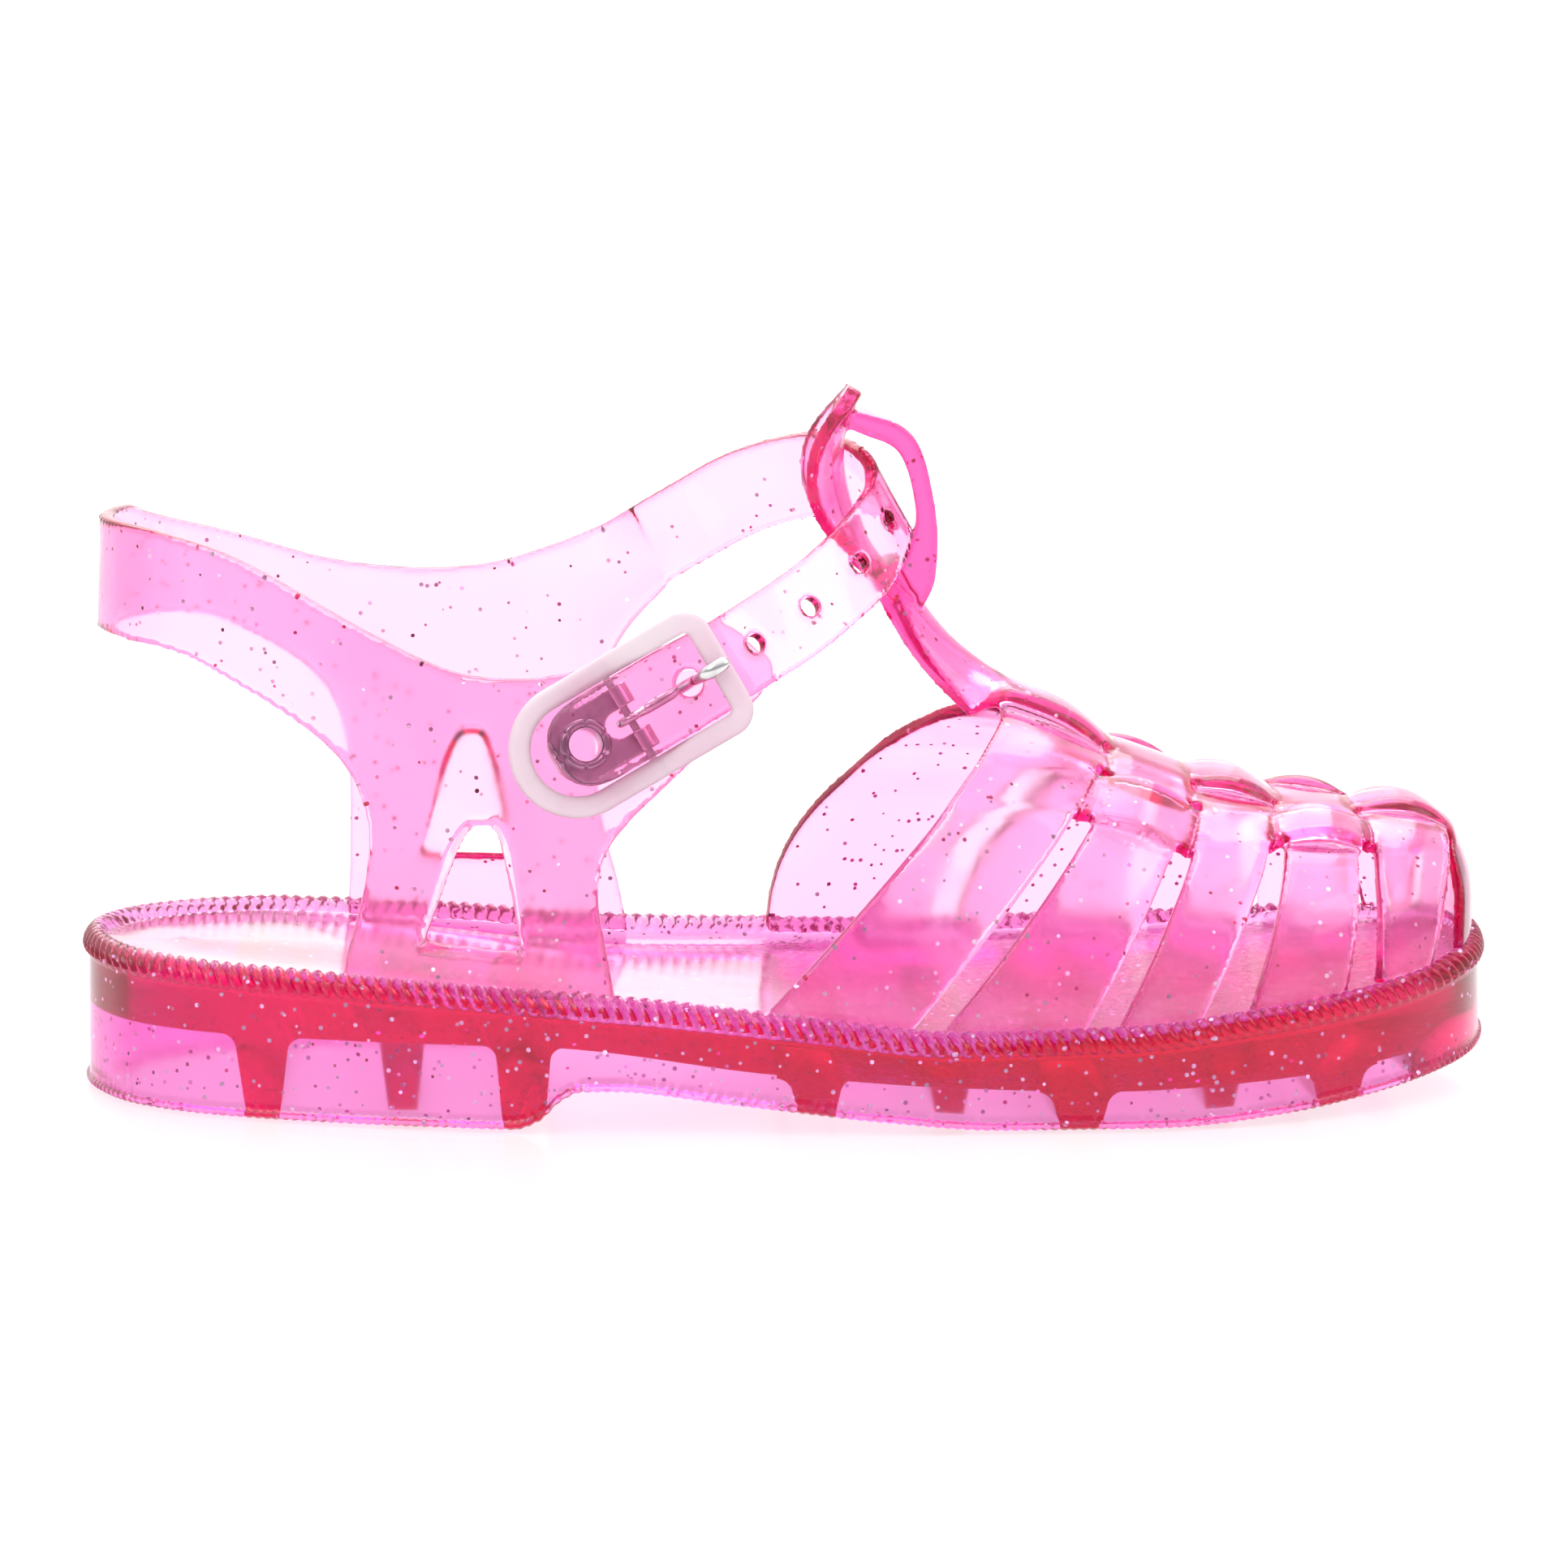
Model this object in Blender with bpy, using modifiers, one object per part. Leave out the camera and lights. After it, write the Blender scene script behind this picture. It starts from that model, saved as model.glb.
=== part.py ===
"""Child's closed-toe jelly sandal, right foot: ribbed sole, woven toe cage, back upper with strap, buckle."""

import math

import bmesh
import bpy
from mathutils import Vector

# Sizes are in millimetres and become metres where a mesh is made. +X is the toe, -Y the outer side
MM = 0.001
HALF_LENGTH = 85.7
MID_LENGTH = 0.8
ORIGIN = (0.8, 0.5, 0.0)
WALL = 1.9
RAISE = 1.7
STRAP_THICKNESS = 1.7
LOOP_Y = 1.0

# Outline and rim of the sole, a row per section from heel to toe
SOLE_COLUMNS = ("x", "lateral", "medial", "rim_lateral", "rim_medial")
SOLE_ROWS = (
    (-84.9, 0.8, 0.8, 19.0, 19.0),
    (-82.6, -9.0, 10.2, 18.9, 18.8),
    (-79.0, -14.6, 15.6, 18.8, 18.5),
    (-69.5, -21.3, 22.6, 18.5, 18.0),
    (-60.0, -24.8, 25.8, 18.2, 17.5),
    (-45.0, -28.8, 26.0, 17.5, 16.8),
    (-20.0, -32.8, 22.9, 16.0, 15.5),
    (0.0, -33.6, 26.6, 13.8, 14.2),
    (20.0, -34.2, 32.8, 11.7, 12.9),
    (40.0, -34.0, 35.2, 12.1, 12.8),
    (55.0, -31.4, 34.2, 13.4, 13.4),
    (70.0, -24.8, 29.0, 14.8, 15.0),
    (78.0, -18.5, 23.2, 15.9, 16.0),
    (83.0, -12.0, 17.6, 16.8, 16.8),
    (86.5, 4.0, 4.0, 17.4, 17.4),
)
# Underside along the foot, x and z: flat heel, arch before the heel breast, flat forefoot, toe spring
BOTTOM_ROWS = (
    (-86.5, 0.0), (-33.0, 0.0), (-30.0, 1.1), (-27.5, 3.5), (-25.0, 4.7), (-21.0, 4.8), (-8.0, 3.3),
    (0.0, 2.3), (10.0, 1.1), (25.0, 0.0), (45.0, 0.0), (60.0, 0.9), (72.0, 2.2), (86.5, 4.2),
)
# Depth of the footbed under the rim, and height of the ceiling of the hollow underside, both by x
RECESS_ROWS = ((-86.5, 1.8), (-60.0, 2.0), (-20.0, 3.6), (10.0, 3.2), (40.0, 2.4), (86.5, 2.6))
CEILING_ROWS = ((-86.5, 9.6), (-30.0, 9.6), (-2.0, 6.4), (20.0, 4.7), (38.0, 4.1), (62.0, 4.8), (86.5, 6.6))
# Side of the sole from the ground to the footbed: inset from the outline, datum, rise from that datum
SIDE_ROWS = (
    (0.8, "ground", 0.0), (-0.1, "ground", 0.9), (0.3, "rim", -3.0), (-0.2, "rim", -2.0),
    (0.3, "rim", -0.6), (1.2, "rim", 0.0), (2.1, "rim", -0.5), (2.8, "rim", -1.5),
)
SKIRT_FOOT = 2.3
SKIRT_TOP = 3.3
TOE_CELL_END = 74.5
# Cross ribs under the sole: x, width at the top, width at the foot, gap between rib end and skirt if any
RIB_ROWS = (
    (-62.5, 6.6, 4.0, None), (-46.0, 5.6, 3.4, 8.0), (-31.6, 6.6, 5.0, None), (2.8, 6.4, 3.6, None),
    (19.0, 5.0, 3.2, 8.0), (34.0, 7.2, 5.0, None), (51.3, 4.8, 3.2, 8.0), (65.0, 6.8, 4.6, None),
)

# Inner face of the cage along the ridge
RIDGE_COLUMNS = ("x", "y", "z")
RIDGE_ROWS = (
    (26.5, 0.8, 44.6), (33.0, 0.9, 42.0), (39.0, 1.0, 38.9), (45.7, 1.2, 36.2), (52.4, 1.5, 33.8),
    (60.0, 1.9, 31.7), (70.0, 2.4, 30.3), (77.0, 2.8, 29.6), (80.5, 3.1, 28.4),
)
# Where each cross strip of the cage starts and ends, and the bands that it is woven with
STRIP_COLUMNS = (
    "rear_lateral", "rear_top", "rear_medial", "front_lateral", "front_top", "front_medial",
    "side_at", "side_half", "central_half", "rear_sweep", "front_sweep",
)
STRIP_ROWS = (
    (-0.7, 26.5, -1.8, 14.7, 38.0, 19.0, 0.42, 4.2, 3.7, 2.3, 1.7),
    (18.5, 40.2, 22.5, 36.8, 48.6, 45.2, 0.40, 4.1, 4.5, 1.5, 1.2),
    (40.3, 50.4, 48.4, 50.5, 59.0, 61.2, 0.37, 3.5, 5.0, 1.1, 1.0),
    (56.6, 60.6, 63.6, 67.6, 69.2, 75.0, 0.34, 2.9, 4.7, 1.0, 1.0),
    (71.9, 71.0, 76.6, 78.8, 80.5, 81.8, 0.32, 2.7, 4.2, 1.0, 1.0),
)
CENTRAL_OVER = (0, 2, 4)
CAGE_INSET = 4.9
TOE_INSET = 3.1
CAGE_DROP = 1.0
TOE_RISE = 0.4
ARCH_POWER = 0.85
STEP_WIDTH = 0.35
# Inner face of the T-bar down to the cage, and of the toe piece down to the rim: x, y, z, half width
TBAR_ROWS = ((13.4, 1.0, 58.2, 3.5), (15.6, 1.0, 54.6, 3.5), (18.3, 0.9, 50.9, 3.5), (21.8, 0.8, 47.4, 3.6))
TOE_ROWS = ((82.2, 3.3, 26.6, 8.8), (83.2, 3.4, 23.2, 12.4), (83.3, 3.5, 17.9, 14.0))
TBAR_RAISE = 1.0
# Front bar of the loop, x and z of its centre line in side view
LOOP_ROWS = (
    (16.2, 57.6), (17.5, 61.5), (17.9, 66.0), (17.2, 71.0), (16.3, 75.0), (15.2, 77.6), (13.5, 79.2),
    (10.9, 79.9), (8.0, 81.2),
)
LOOP_THICKNESS = 2.3
LOOP_HALF = 3.4
# Leaf of the loop behind the strap: z and x of its centre line, half width, how far its edges bend back
LEAF_ROWS = (
    (58.2, 15.4, 3.2, 0.0), (64.0, 10.3, 5.0, 1.4), (68.0, 8.4, 6.5, 3.2), (72.0, 7.2, 7.3, 3.8),
    (75.7, 6.7, 7.2, 3.4), (79.0, 6.9, 6.0, 2.4), (82.0, 7.8, 4.2, 0.9), (84.3, 9.0, 2.0, 0.2),
)
LEAF_THICKNESS = 1.9
LEAF_Y = -0.4

# Top of the wall of the back upper in plan, at TOP_HEIGHT
TOP_HALF_LENGTH = 80.5
TOP_HEIGHT = 66.0
TOP_COLUMNS = ("x", "lateral", "medial")
TOP_ROWS = (
    (-80.5, 0.8, 0.8), (-78.0, -8.3, 9.8), (-73.0, -13.8, 15.2), (-64.0, -18.0, 19.2), (-48.0, -20.6, 21.6),
    (-30.0, -20.0, 21.4), (-12.0, -17.0, 20.2), (8.0, -12.5, 17.0), (80.5, 0.0, 0.0),
)
WALL_INSET = 4.9
WALL_DROP = 1.0
WALL_BULGE = 1.0
WALL_FRONT = 0.56
# Edges of the two quarters in side view, x and z
LATERAL_LOWER = (
    (-54.0, 8.0), (-52.8, 18.6), (-50.4, 28.0), (-49.9, 35.0), (-51.6, 41.0), (-56.0, 46.0), (-65.2, 51.7),
    (-74.0, 55.4), (-90.0, 56.2),
)
LATERAL_TOP = (
    (-90.0, 68.9), (-80.2, 69.6), (-73.6, 69.0), (-64.2, 66.2), (-48.8, 57.8), (-40.0, 53.7), (-33.0, 52.7),
    (-26.8, 53.2), (-17.0, 55.4), (-8.6, 59.0),
)
LATERAL_FRONT = (
    (-5.0, 56.6), (-2.4, 51.6), (-12.9, 41.7), (-18.8, 36.3), (-22.0, 32.0), (-22.8, 27.0), (-21.9, 20.8),
    (-19.6, 8.0),
)
MEDIAL_LOWER = (
    (-54.4, 8.0), (-53.4, 19.0), (-53.2, 34.0), (-54.6, 42.0), (-58.4, 47.4), (-66.0, 52.4), (-74.0, 55.2),
    (-91.0, 55.9),
)
MEDIAL_TOP = (
    (-91.0, 69.3), (-80.4, 69.5), (-77.6, 68.3), (-74.0, 66.8), (-65.8, 64.2), (-56.0, 61.0), (-45.8, 59.6),
    (-36.0, 60.0), (-27.0, 62.6), (-17.5, 66.6),
)
MEDIAL_FRONT = (
    (-13.4, 57.2), (-18.8, 51.0), (-21.8, 44.0), (-22.4, 36.0), (-21.4, 27.0), (-19.4, 19.0), (-17.6, 8.0),
)
LATERAL_WINDOW = ((-43.2, 21.6), (-38.6, 33.6), (-36.4, 35.0), (-34.4, 33.6), (-31.8, 20.6))
MEDIAL_WINDOW = ((-44.2, 23.8), (-40.0, 36.6), (-37.8, 38.4), (-36.0, 36.6), (-33.2, 23.6))

# Ankle strap from the medial quarter over the loop to the buckle: its top edge x, y, z, then its low edge
STRAP_ROWS = (
    (-25.0, 23.0, 63.4, -20.4, 23.8, 53.4),
    (-14.0, 20.6, 69.6, -9.6, 22.0, 60.0),
    (-5.0, 16.4, 75.0, -0.2, 17.6, 65.4),
    (4.8, 10.2, 78.0, 10.0, 11.2, 68.0),
    (10.4, 2.0, 76.8, 15.9, 2.0, 67.0),
    (11.2, -3.6, 73.8, 15.2, -4.6, 64.4),
    (8.3, -9.4, 70.6, 12.6, -11.2, 61.2),
    (4.4, -14.2, 67.6, 8.6, -16.6, 58.4),
    (-0.8, -18.6, 64.2, 3.6, -21.4, 55.2),
)
STRAP_STEPS = 3
# The strap through the buckle: place along the buckle's own axis, half width
BUCKLE_STRAP_ROWS = ((6.0, 5.0), (-1.0, 4.9), (-8.0, 4.9), (-14.5, 4.9), (-17.4, 3.6), (-18.5, 1.6))
HOLE_COUNT = 4
HOLE_PITCH = 9.9
HOLE_DIAMETER = 2.2
PRONG_HOLE_DIAMETER = 3.0

# Buckle in its own frame on the lateral tab: along the strap, across it, and out from the wall
BUCKLE_X = -12.6
BUCKLE_Z = 51.2
BUCKLE_ANGLE = math.radians(28.6)
STRAP_OUT = 5.9
FRAME_CROSSBAR = 3.5
FRAME_ROUND_END = -15.3
FRAME_HALF = 6.75
FRAME_WIDTH = 2.6
FRAME_THICKNESS = 2.2
FRAME_OUT_CROSSBAR = 7.9
FRAME_OUT_ROUND = 2.4
PIVOT = -8.0
PIVOT_OUT = 2.1
PIVOT_DIAMETER = 1.0
PRONG_DIAMETER = 1.3
HOOK_DIAMETER = 1.0
PRONG_ROWS = ((-6.2, 2.1), (-2.4, 2.2), (-0.9, 3.2), (0.0, 5.6), (0.7, 8.4), (1.9, 9.95), (4.4, 10.0))
PLATE_THICKNESS = 0.5
PLATE_OUT = 0.45
PLATE_HALF = 4.2
PLATE_END = -18.0
PLATE_SLOT_HALF = 1.6
PLATE_SLOT_END = -11.0
RIVET_AT = -14.0
RIVET_HOLE = 3.9
RIVET_BARREL = 4.7
RIVET_FLANGE = 6.2
RIVET_FLANGE_THICKNESS = 0.5
RIVET_CLEARANCE = 0.3

for old in list(bpy.data.objects):
    bpy.data.objects.remove(old, do_unlink=True)
parts = bpy.data.collections.new("jelly_sandal")
cutters = bpy.data.collections.new("cutters")
bpy.context.scene.collection.children.link(parts)
bpy.context.scene.collection.children.link(cutters)


def column(columns, rows, name):
    at = columns.index(name)
    return [row[at] for row in rows]


def smooth(xs, ys, x):
    """Cubic curve through the rows that doesn't swing past them, held at its ends."""
    if x <= xs[0]:
        return ys[0]
    if x >= xs[-1]:
        return ys[-1]
    slopes = [(ys[i + 1] - ys[i]) / (xs[i + 1] - xs[i]) for i in range(len(xs) - 1)]
    i = max(k for k in range(len(xs) - 1) if xs[k] <= x)

    def tangent(k):
        if k == 0:
            return slopes[0]
        if k == len(xs) - 1:
            return slopes[-1]
        before, after = slopes[k - 1], slopes[k]
        return 0.0 if before * after <= 0 else 2 * before * after / (before + after)

    width = xs[i + 1] - xs[i]
    t = (x - xs[i]) / width
    rise = ys[i + 1] - ys[i]
    start = tangent(i) * width
    end = tangent(i + 1) * width
    return ys[i] + t * (start + t * (3 * rise - 2 * start - end + t * (start + end - 2 * rise)))


def along(rows, x):
    return smooth([row[0] for row in rows], [row[1] for row in rows], x)


def path_through(rows, steps):
    """Catmull-Rom points through the rows, with the given steps between two rows."""
    points = [Vector(row) for row in rows]
    found = []
    for i in range(len(points) - 1):
        a = points[max(i - 1, 0)]
        b = points[i]
        c = points[i + 1]
        d = points[min(i + 2, len(points) - 1)]
        for k in range(steps):
            t = k / steps
            bend = 2 * a - 5 * b + 4 * c - d
            twist = 3 * b - a - 3 * c + d
            found.append(0.5 * (2 * b + (c - a) * t + bend * t**2 + twist * t**3))
    found.append(points[-1])
    return found


def mesh_object(name, points, faces, home, weights=None):
    mesh = bpy.data.meshes.new(name)
    mesh.from_pydata([(Vector(p) - Vector(ORIGIN)) * MM for p in points], [], faces)
    work = bmesh.new()
    work.from_mesh(mesh)
    if weights is None:
        bmesh.ops.remove_doubles(work, verts=work.verts, dist=0.00001)
        bmesh.ops.recalc_face_normals(work, faces=work.faces)
    work.to_mesh(mesh)
    work.free()
    made = bpy.data.objects.new(name, mesh)
    home.objects.link(made)
    if home is cutters:
        made.hide_render = True
        made.display_type = "WIRE"
    if weights is not None:
        group = made.vertex_groups.new(name="thickness")
        for index, weight in enumerate(weights):
            group.add([index], weight, "REPLACE")
    return made


def loft(name, rings, home, closed=True, capped=True):
    """Skin over rings of equal length. Closed rings run round, and caps close the two ends."""
    count = len(rings[0])
    points = [p for ring in rings for p in ring]
    faces = []
    for r in range(len(rings) - 1):
        for k in range(count if closed else count - 1):
            n = (k + 1) % count
            faces.append((r * count + k, r * count + n, (r + 1) * count + n, (r + 1) * count + k))
    if capped:
        faces.append(tuple(range(count)))
        faces.append(tuple((len(rings) - 1) * count + k for k in range(count)))
    return mesh_object(name, points, faces, home)


def prism(name, outline, low, high, home):
    """Side-view outline carried across from one Y to another."""
    return loft(name, [[(x, low, z) for x, z in outline], [(x, high, z) for x, z in outline]], home)


def boolean(made, other, operation, own=False):
    change = made.modifiers.new(operation.lower(), "BOOLEAN")
    change.operation = operation
    change.solver = "EXACT"
    change.use_self = own
    change.object = other


def solidify(made, thickness, offset, group=None, least=0.0):
    change = made.modifiers.new("wall", "SOLIDIFY")
    change.thickness = thickness * MM
    change.offset = offset
    if group:
        change.vertex_group = group
        change.thickness_vertex_group = least


def material(made, name, colour, roughness, metallic=0.0, transmission=0.0):
    made_of = bpy.data.materials.new(name)
    made_of.use_nodes = True
    shader = made_of.node_tree.nodes["Principled BSDF"]
    shader.inputs["Base Color"].default_value = (*colour, 1.0)
    shader.inputs["Roughness"].default_value = roughness
    shader.inputs["Metallic"].default_value = metallic
    shader.inputs["Transmission Weight"].default_value = transmission
    made_of.diffuse_color = (*colour, 1.0)
    made.data.materials.append(made_of)


# Plan of the sole: an angle runs along the lateral side to the toe and back along the medial side
def sole_angle(x):
    return math.acos((MID_LENGTH - x) / HALF_LENGTH)


SOLE_ANGLES = [sole_angle(x) for x in column(SOLE_COLUMNS, SOLE_ROWS, "x")]
TOP_ANGLES = [math.acos(-x / TOP_HALF_LENGTH) for x in column(TOP_COLUMNS, TOP_ROWS, "x")]


def sole_value(angle, lateral, medial):
    angle %= 2 * math.pi
    name = lateral if angle <= math.pi else medial
    return smooth(SOLE_ANGLES, column(SOLE_COLUMNS, SOLE_ROWS, name), min(angle, 2 * math.pi - angle))


def outline(angle):
    return MID_LENGTH - HALF_LENGTH * math.cos(angle), sole_value(angle, "lateral", "medial")


def rim(angle):
    return sole_value(angle, "rim_lateral", "rim_medial")


def inset_point(angle, inset):
    x, y = outline(angle)
    x0, y0 = outline(angle - 0.02)
    x1, y1 = outline(angle + 0.02)
    length = math.hypot(x1 - x0, y1 - y0)
    return x - (y1 - y0) / length * inset, y + (x1 - x0) / length * inset


def spine_point(angle):
    return 0.84 * outline(angle)[0], 0.5 * (outline(angle)[1] + outline(-angle)[1])


def footbed(angle):
    x = spine_point(angle)[0]
    return 0.5 * (rim(angle) + rim(-angle)) - along(RECESS_ROWS, x)


# Sole: solid body, then the hollow cells between its ribs
SOLE_COUNT = 80
sole_angles = [2 * math.pi * k / SOLE_COUNT for k in range(SOLE_COUNT)]
rings = [[(*spine_point(a), along(BOTTOM_ROWS, spine_point(a)[0])) for a in sole_angles]]
for inset, datum, rise in SIDE_ROWS:
    ring = []
    for a in sole_angles:
        x, y = inset_point(a, inset)
        level = rim(a) if datum == "rim" else along(BOTTOM_ROWS, x)
        ring.append((x, y, level + rise))
    rings.append(ring)
cup = []
for a in sole_angles:
    x, y = inset_point(a, 5.6)
    depth = along(RECESS_ROWS, x)
    cup.append((x, y, rim(a) - max(1.6, 0.9 * depth)))
rings.append(cup)
halfway = [0.5 * (Vector(point[:2]) + Vector(spine_point(a))) for point, a in zip(cup, sole_angles)]
rings.append([(*point, footbed(a)) for point, a in zip(halfway, sole_angles)])
rings.append([(*spine_point(a), footbed(a)) for a in sole_angles])
sole = loft("sole", rings, parts, capped=False)
material(sole, "pvc_crimson", (0.58, 0.03, 0.11), 0.2, transmission=0.6)


def cell_ring(inset, level):
    ring = []
    for a in sole_angles:
        x, y = inset_point(a, inset)
        x = min(x, TOE_CELL_END)
        ring.append((x, y, level if level < 0 else along(CEILING_ROWS, x)))
    return ring


def cell_spine(level):
    ring = []
    for a in sole_angles:
        x, y = spine_point(a)
        ring.append((x, y, level if level < 0 else along(CEILING_ROWS, x)))
    return ring


cell_rings = [cell_spine(-4.0), cell_ring(SKIRT_FOOT, -4.0), cell_ring(SKIRT_TOP, 0.0), cell_spine(0.0)]
cells = loft("cells", cell_rings, cutters, capped=False)
for number, (x, top_width, foot_width, end_inset) in enumerate(RIB_ROWS):
    high = along(CEILING_ROWS, x)
    spread = 0.5 * (top_width - foot_width) / high
    angle = sole_angle(x)
    low_y, high_y = (-50.0, 50.0)
    if end_inset is not None:
        low_y = outline(angle)[1] + SKIRT_FOOT + end_inset
        high_y = outline(-angle)[1] - SKIRT_FOOT - end_inset
    side = []
    for z in (-6.0, high + 3.0):
        half = 0.5 * foot_width + spread * z
        side += [(x - half, z), (x + half, z)] if z < 0 else [(x + half, z), (x - half, z)]
    boolean(cells, prism(f"rib_{number}", side, low_y, high_y, cutters), "DIFFERENCE")
boolean(sole, cells, "DIFFERENCE", own=True)

# Cage: stations along the ridge, each an arch from the lateral rim over the ridge to the medial rim
EDGE_COLUMNS = ("lateral", "top", "medial", "sweep", "side_at", "side_half", "central_half")
edges = []
for row in STRIP_ROWS:
    named = dict(zip(STRIP_COLUMNS, row))
    for end in ("rear", "front"):
        ends = [named[f"{end}_{name}"] for name in EDGE_COLUMNS[:4]]
        edges.append(ends + [named[name] for name in EDGE_COLUMNS[4:]])


def between(first, second, t):
    return [a + (b - a) * t for a, b in zip(first, second)]


# A station is its edge values, the strip it lies in and how far it is from the strips before and after it
stations = []
for strip in range(len(STRIP_ROWS)):
    rear, front = edges[2 * strip], edges[2 * strip + 1]
    for t in (0.0, 0.33, 0.67, 1.0):
        stations.append((between(rear, front, t), strip, {strip: 1.0}))
    if strip + 1 < len(STRIP_ROWS):
        after = edges[2 * strip + 2]
        for t in (0.16, 0.5, 0.84):
            stations.append((between(front, after, t), None, {strip: 1.0 - t, strip + 1: t}))


def ridge_point(x):
    xs = column(RIDGE_COLUMNS, RIDGE_ROWS, "x")
    return Vector((x, smooth(xs, column(RIDGE_COLUMNS, RIDGE_ROWS, "y"), x),
                   smooth(xs, column(RIDGE_COLUMNS, RIDGE_ROWS, "z"), x)))


def base_point(x, medial):
    angle = sole_angle(x)
    if medial:
        angle = -angle
    toe = min(max(0.0, (x - 45.0) / 30.0), 1.0)
    px, py = inset_point(angle, CAGE_INSET + (TOE_INSET - CAGE_INSET) * toe)
    return Vector((px, py, rim(angle) - CAGE_DROP + (TOE_RISE + CAGE_DROP) * toe))


def arch(station, medial):
    """Half of a station's arch from the ridge to the rim, as points with their length from the ridge."""
    values = dict(zip(EDGE_COLUMNS, station))
    top = ridge_point(values["top"])
    base = base_point(values["medial" if medial else "lateral"], medial)
    sweep = values["sweep"] if medial else 1.0
    points = []
    for k in range(41):
        turn = 0.5 * math.pi * k / 40
        down = max(math.cos(turn), 0.0) ** ARCH_POWER
        out = math.sin(turn) ** ARCH_POWER
        points.append(Vector((
            base.x + (top.x - base.x) * down**sweep,
            top.y + (base.y - top.y) * out,
            base.z + (top.z - base.z) * down,
        )))
    lengths = [0.0]
    for k in range(40):
        lengths.append(lengths[-1] + (points[k + 1] - points[k]).length)
    return points, lengths


def at_length(points, lengths, wanted):
    k = max(i for i in range(len(lengths) - 1) if lengths[i] <= max(wanted, 0.0))
    t = (wanted - lengths[k]) / (lengths[k + 1] - lengths[k])
    return points[k].lerp(points[k + 1], min(t, 1.0))


# Lines across half an arch, and the band that each belongs to
HALF_LINES = (
    "ridge", "central", "central", "step", "mid", "step", "side", "side", "side", "step",
    "low", "low", "low", "low",
)


def half_lengths(station, total):
    values = dict(zip(EDGE_COLUMNS, station))
    central = values["central_half"]
    middle = values["side_at"] * total
    half = values["side_half"]
    inner = middle - half - STEP_WIDTH
    outer = middle + half + STEP_WIDTH
    rest = [outer + (total - outer) * t for t in (0.33, 0.62, 0.85, 1.0)]
    return [0.0, 0.55 * central, central, central + STEP_WIDTH, 0.5 * (central + STEP_WIDTH + inner), inner,
            middle - half, middle, middle + half, outer, *rest]


LAST = len(HALF_LINES) - 1
lines = [(k, False) for k in range(LAST, 0, -1)] + [(k, True) for k in range(LAST + 1)]


def band_of(line):
    kind = HALF_LINES[line[0]]
    if kind in ("ridge", "central"):
        return "central"
    return f"side_{line[1]}" if kind == "side" else None


def band_over(band, strip):
    return (band == "central") == (strip in CENTRAL_OVER)


def lift_at(near, strip, line):
    """Share of the full raise where a band or a strip passes over the other."""
    band = band_of(line)
    lift = 0.0
    if band:
        lift = max([share for other, share in near.items() if band_over(band, other)] + [0.0])
    if strip is not None:
        for offset, share in ((0, 1.0), (1, 0.85), (2, 0.35)):
            for other in (line[0] - offset, line[0] + offset):
                if 0 <= other <= LAST:
                    crossed = band_of((other, line[1]))
                    if crossed and not band_over(crossed, strip):
                        lift = max(lift, share)
    return lift


points = []
weights = []
grid = {}
for s, (station, strip, near) in enumerate(stations):
    halves = {medial: arch(station, medial) for medial in (False, True)}
    for r, line in enumerate(lines):
        arc, lengths = halves[line[1]]
        wanted = half_lengths(station, lengths[-1])[line[0]]
        grid[s, r] = len(points)
        points.append(at_length(arc, lengths, wanted))
        weights.append((WALL + RAISE * lift_at(near, strip, line)) / (WALL + RAISE))
faces = []
for s in range(len(stations) - 1):
    for r in range(len(lines) - 1):
        same_strip = stations[s][1] is not None and stations[s][1] == stations[s + 1][1]
        same_band = band_of(lines[r]) is not None and band_of(lines[r]) == band_of(lines[r + 1])
        if same_strip or same_band:
            faces.append((grid[s, r], grid[s, r + 1], grid[s + 1, r + 1], grid[s + 1, r]))
central_rows = [r for r, line in enumerate(lines) if band_of(line) == "central"]


def extend(rows, start, first, lift):
    """Carries the central band on from the first or last station through rows of its own."""
    last = [grid[start, r] for r in central_rows]
    for x, y, z, half in rows:
        new = []
        for k in range(len(central_rows)):
            t = 2.0 * k / (len(central_rows) - 1) - 1.0
            new.append(len(points))
            points.append(Vector((x - 0.06 * half * t * t * (0 if first else 3), y + half * t, z)))
            weights.append((WALL + RAISE * lift) / (WALL + RAISE))
        for k in range(len(new) - 1):
            pair = (new[k], new[k + 1], last[k + 1], last[k])
            faces.append(pair if first else pair[::-1])
        last = new


extend(reversed(TBAR_ROWS), 0, True, TBAR_RAISE)
extend(TOE_ROWS, len(stations) - 1, False, 0.25)
used = sorted({index for face in faces for index in face})
place = {index: k for k, index in enumerate(used)}
cage_points = [points[i] for i in used]
cage_faces = [tuple(place[i] for i in face) for face in faces]
cage = mesh_object("vamp_cage", cage_points, cage_faces, parts, [weights[i] for i in used])
solidify(cage, WALL + RAISE, -1.0, "thickness")
material(cage, "pvc_pink", (0.93, 0.16, 0.48), 0.15, transmission=0.6)

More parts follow.
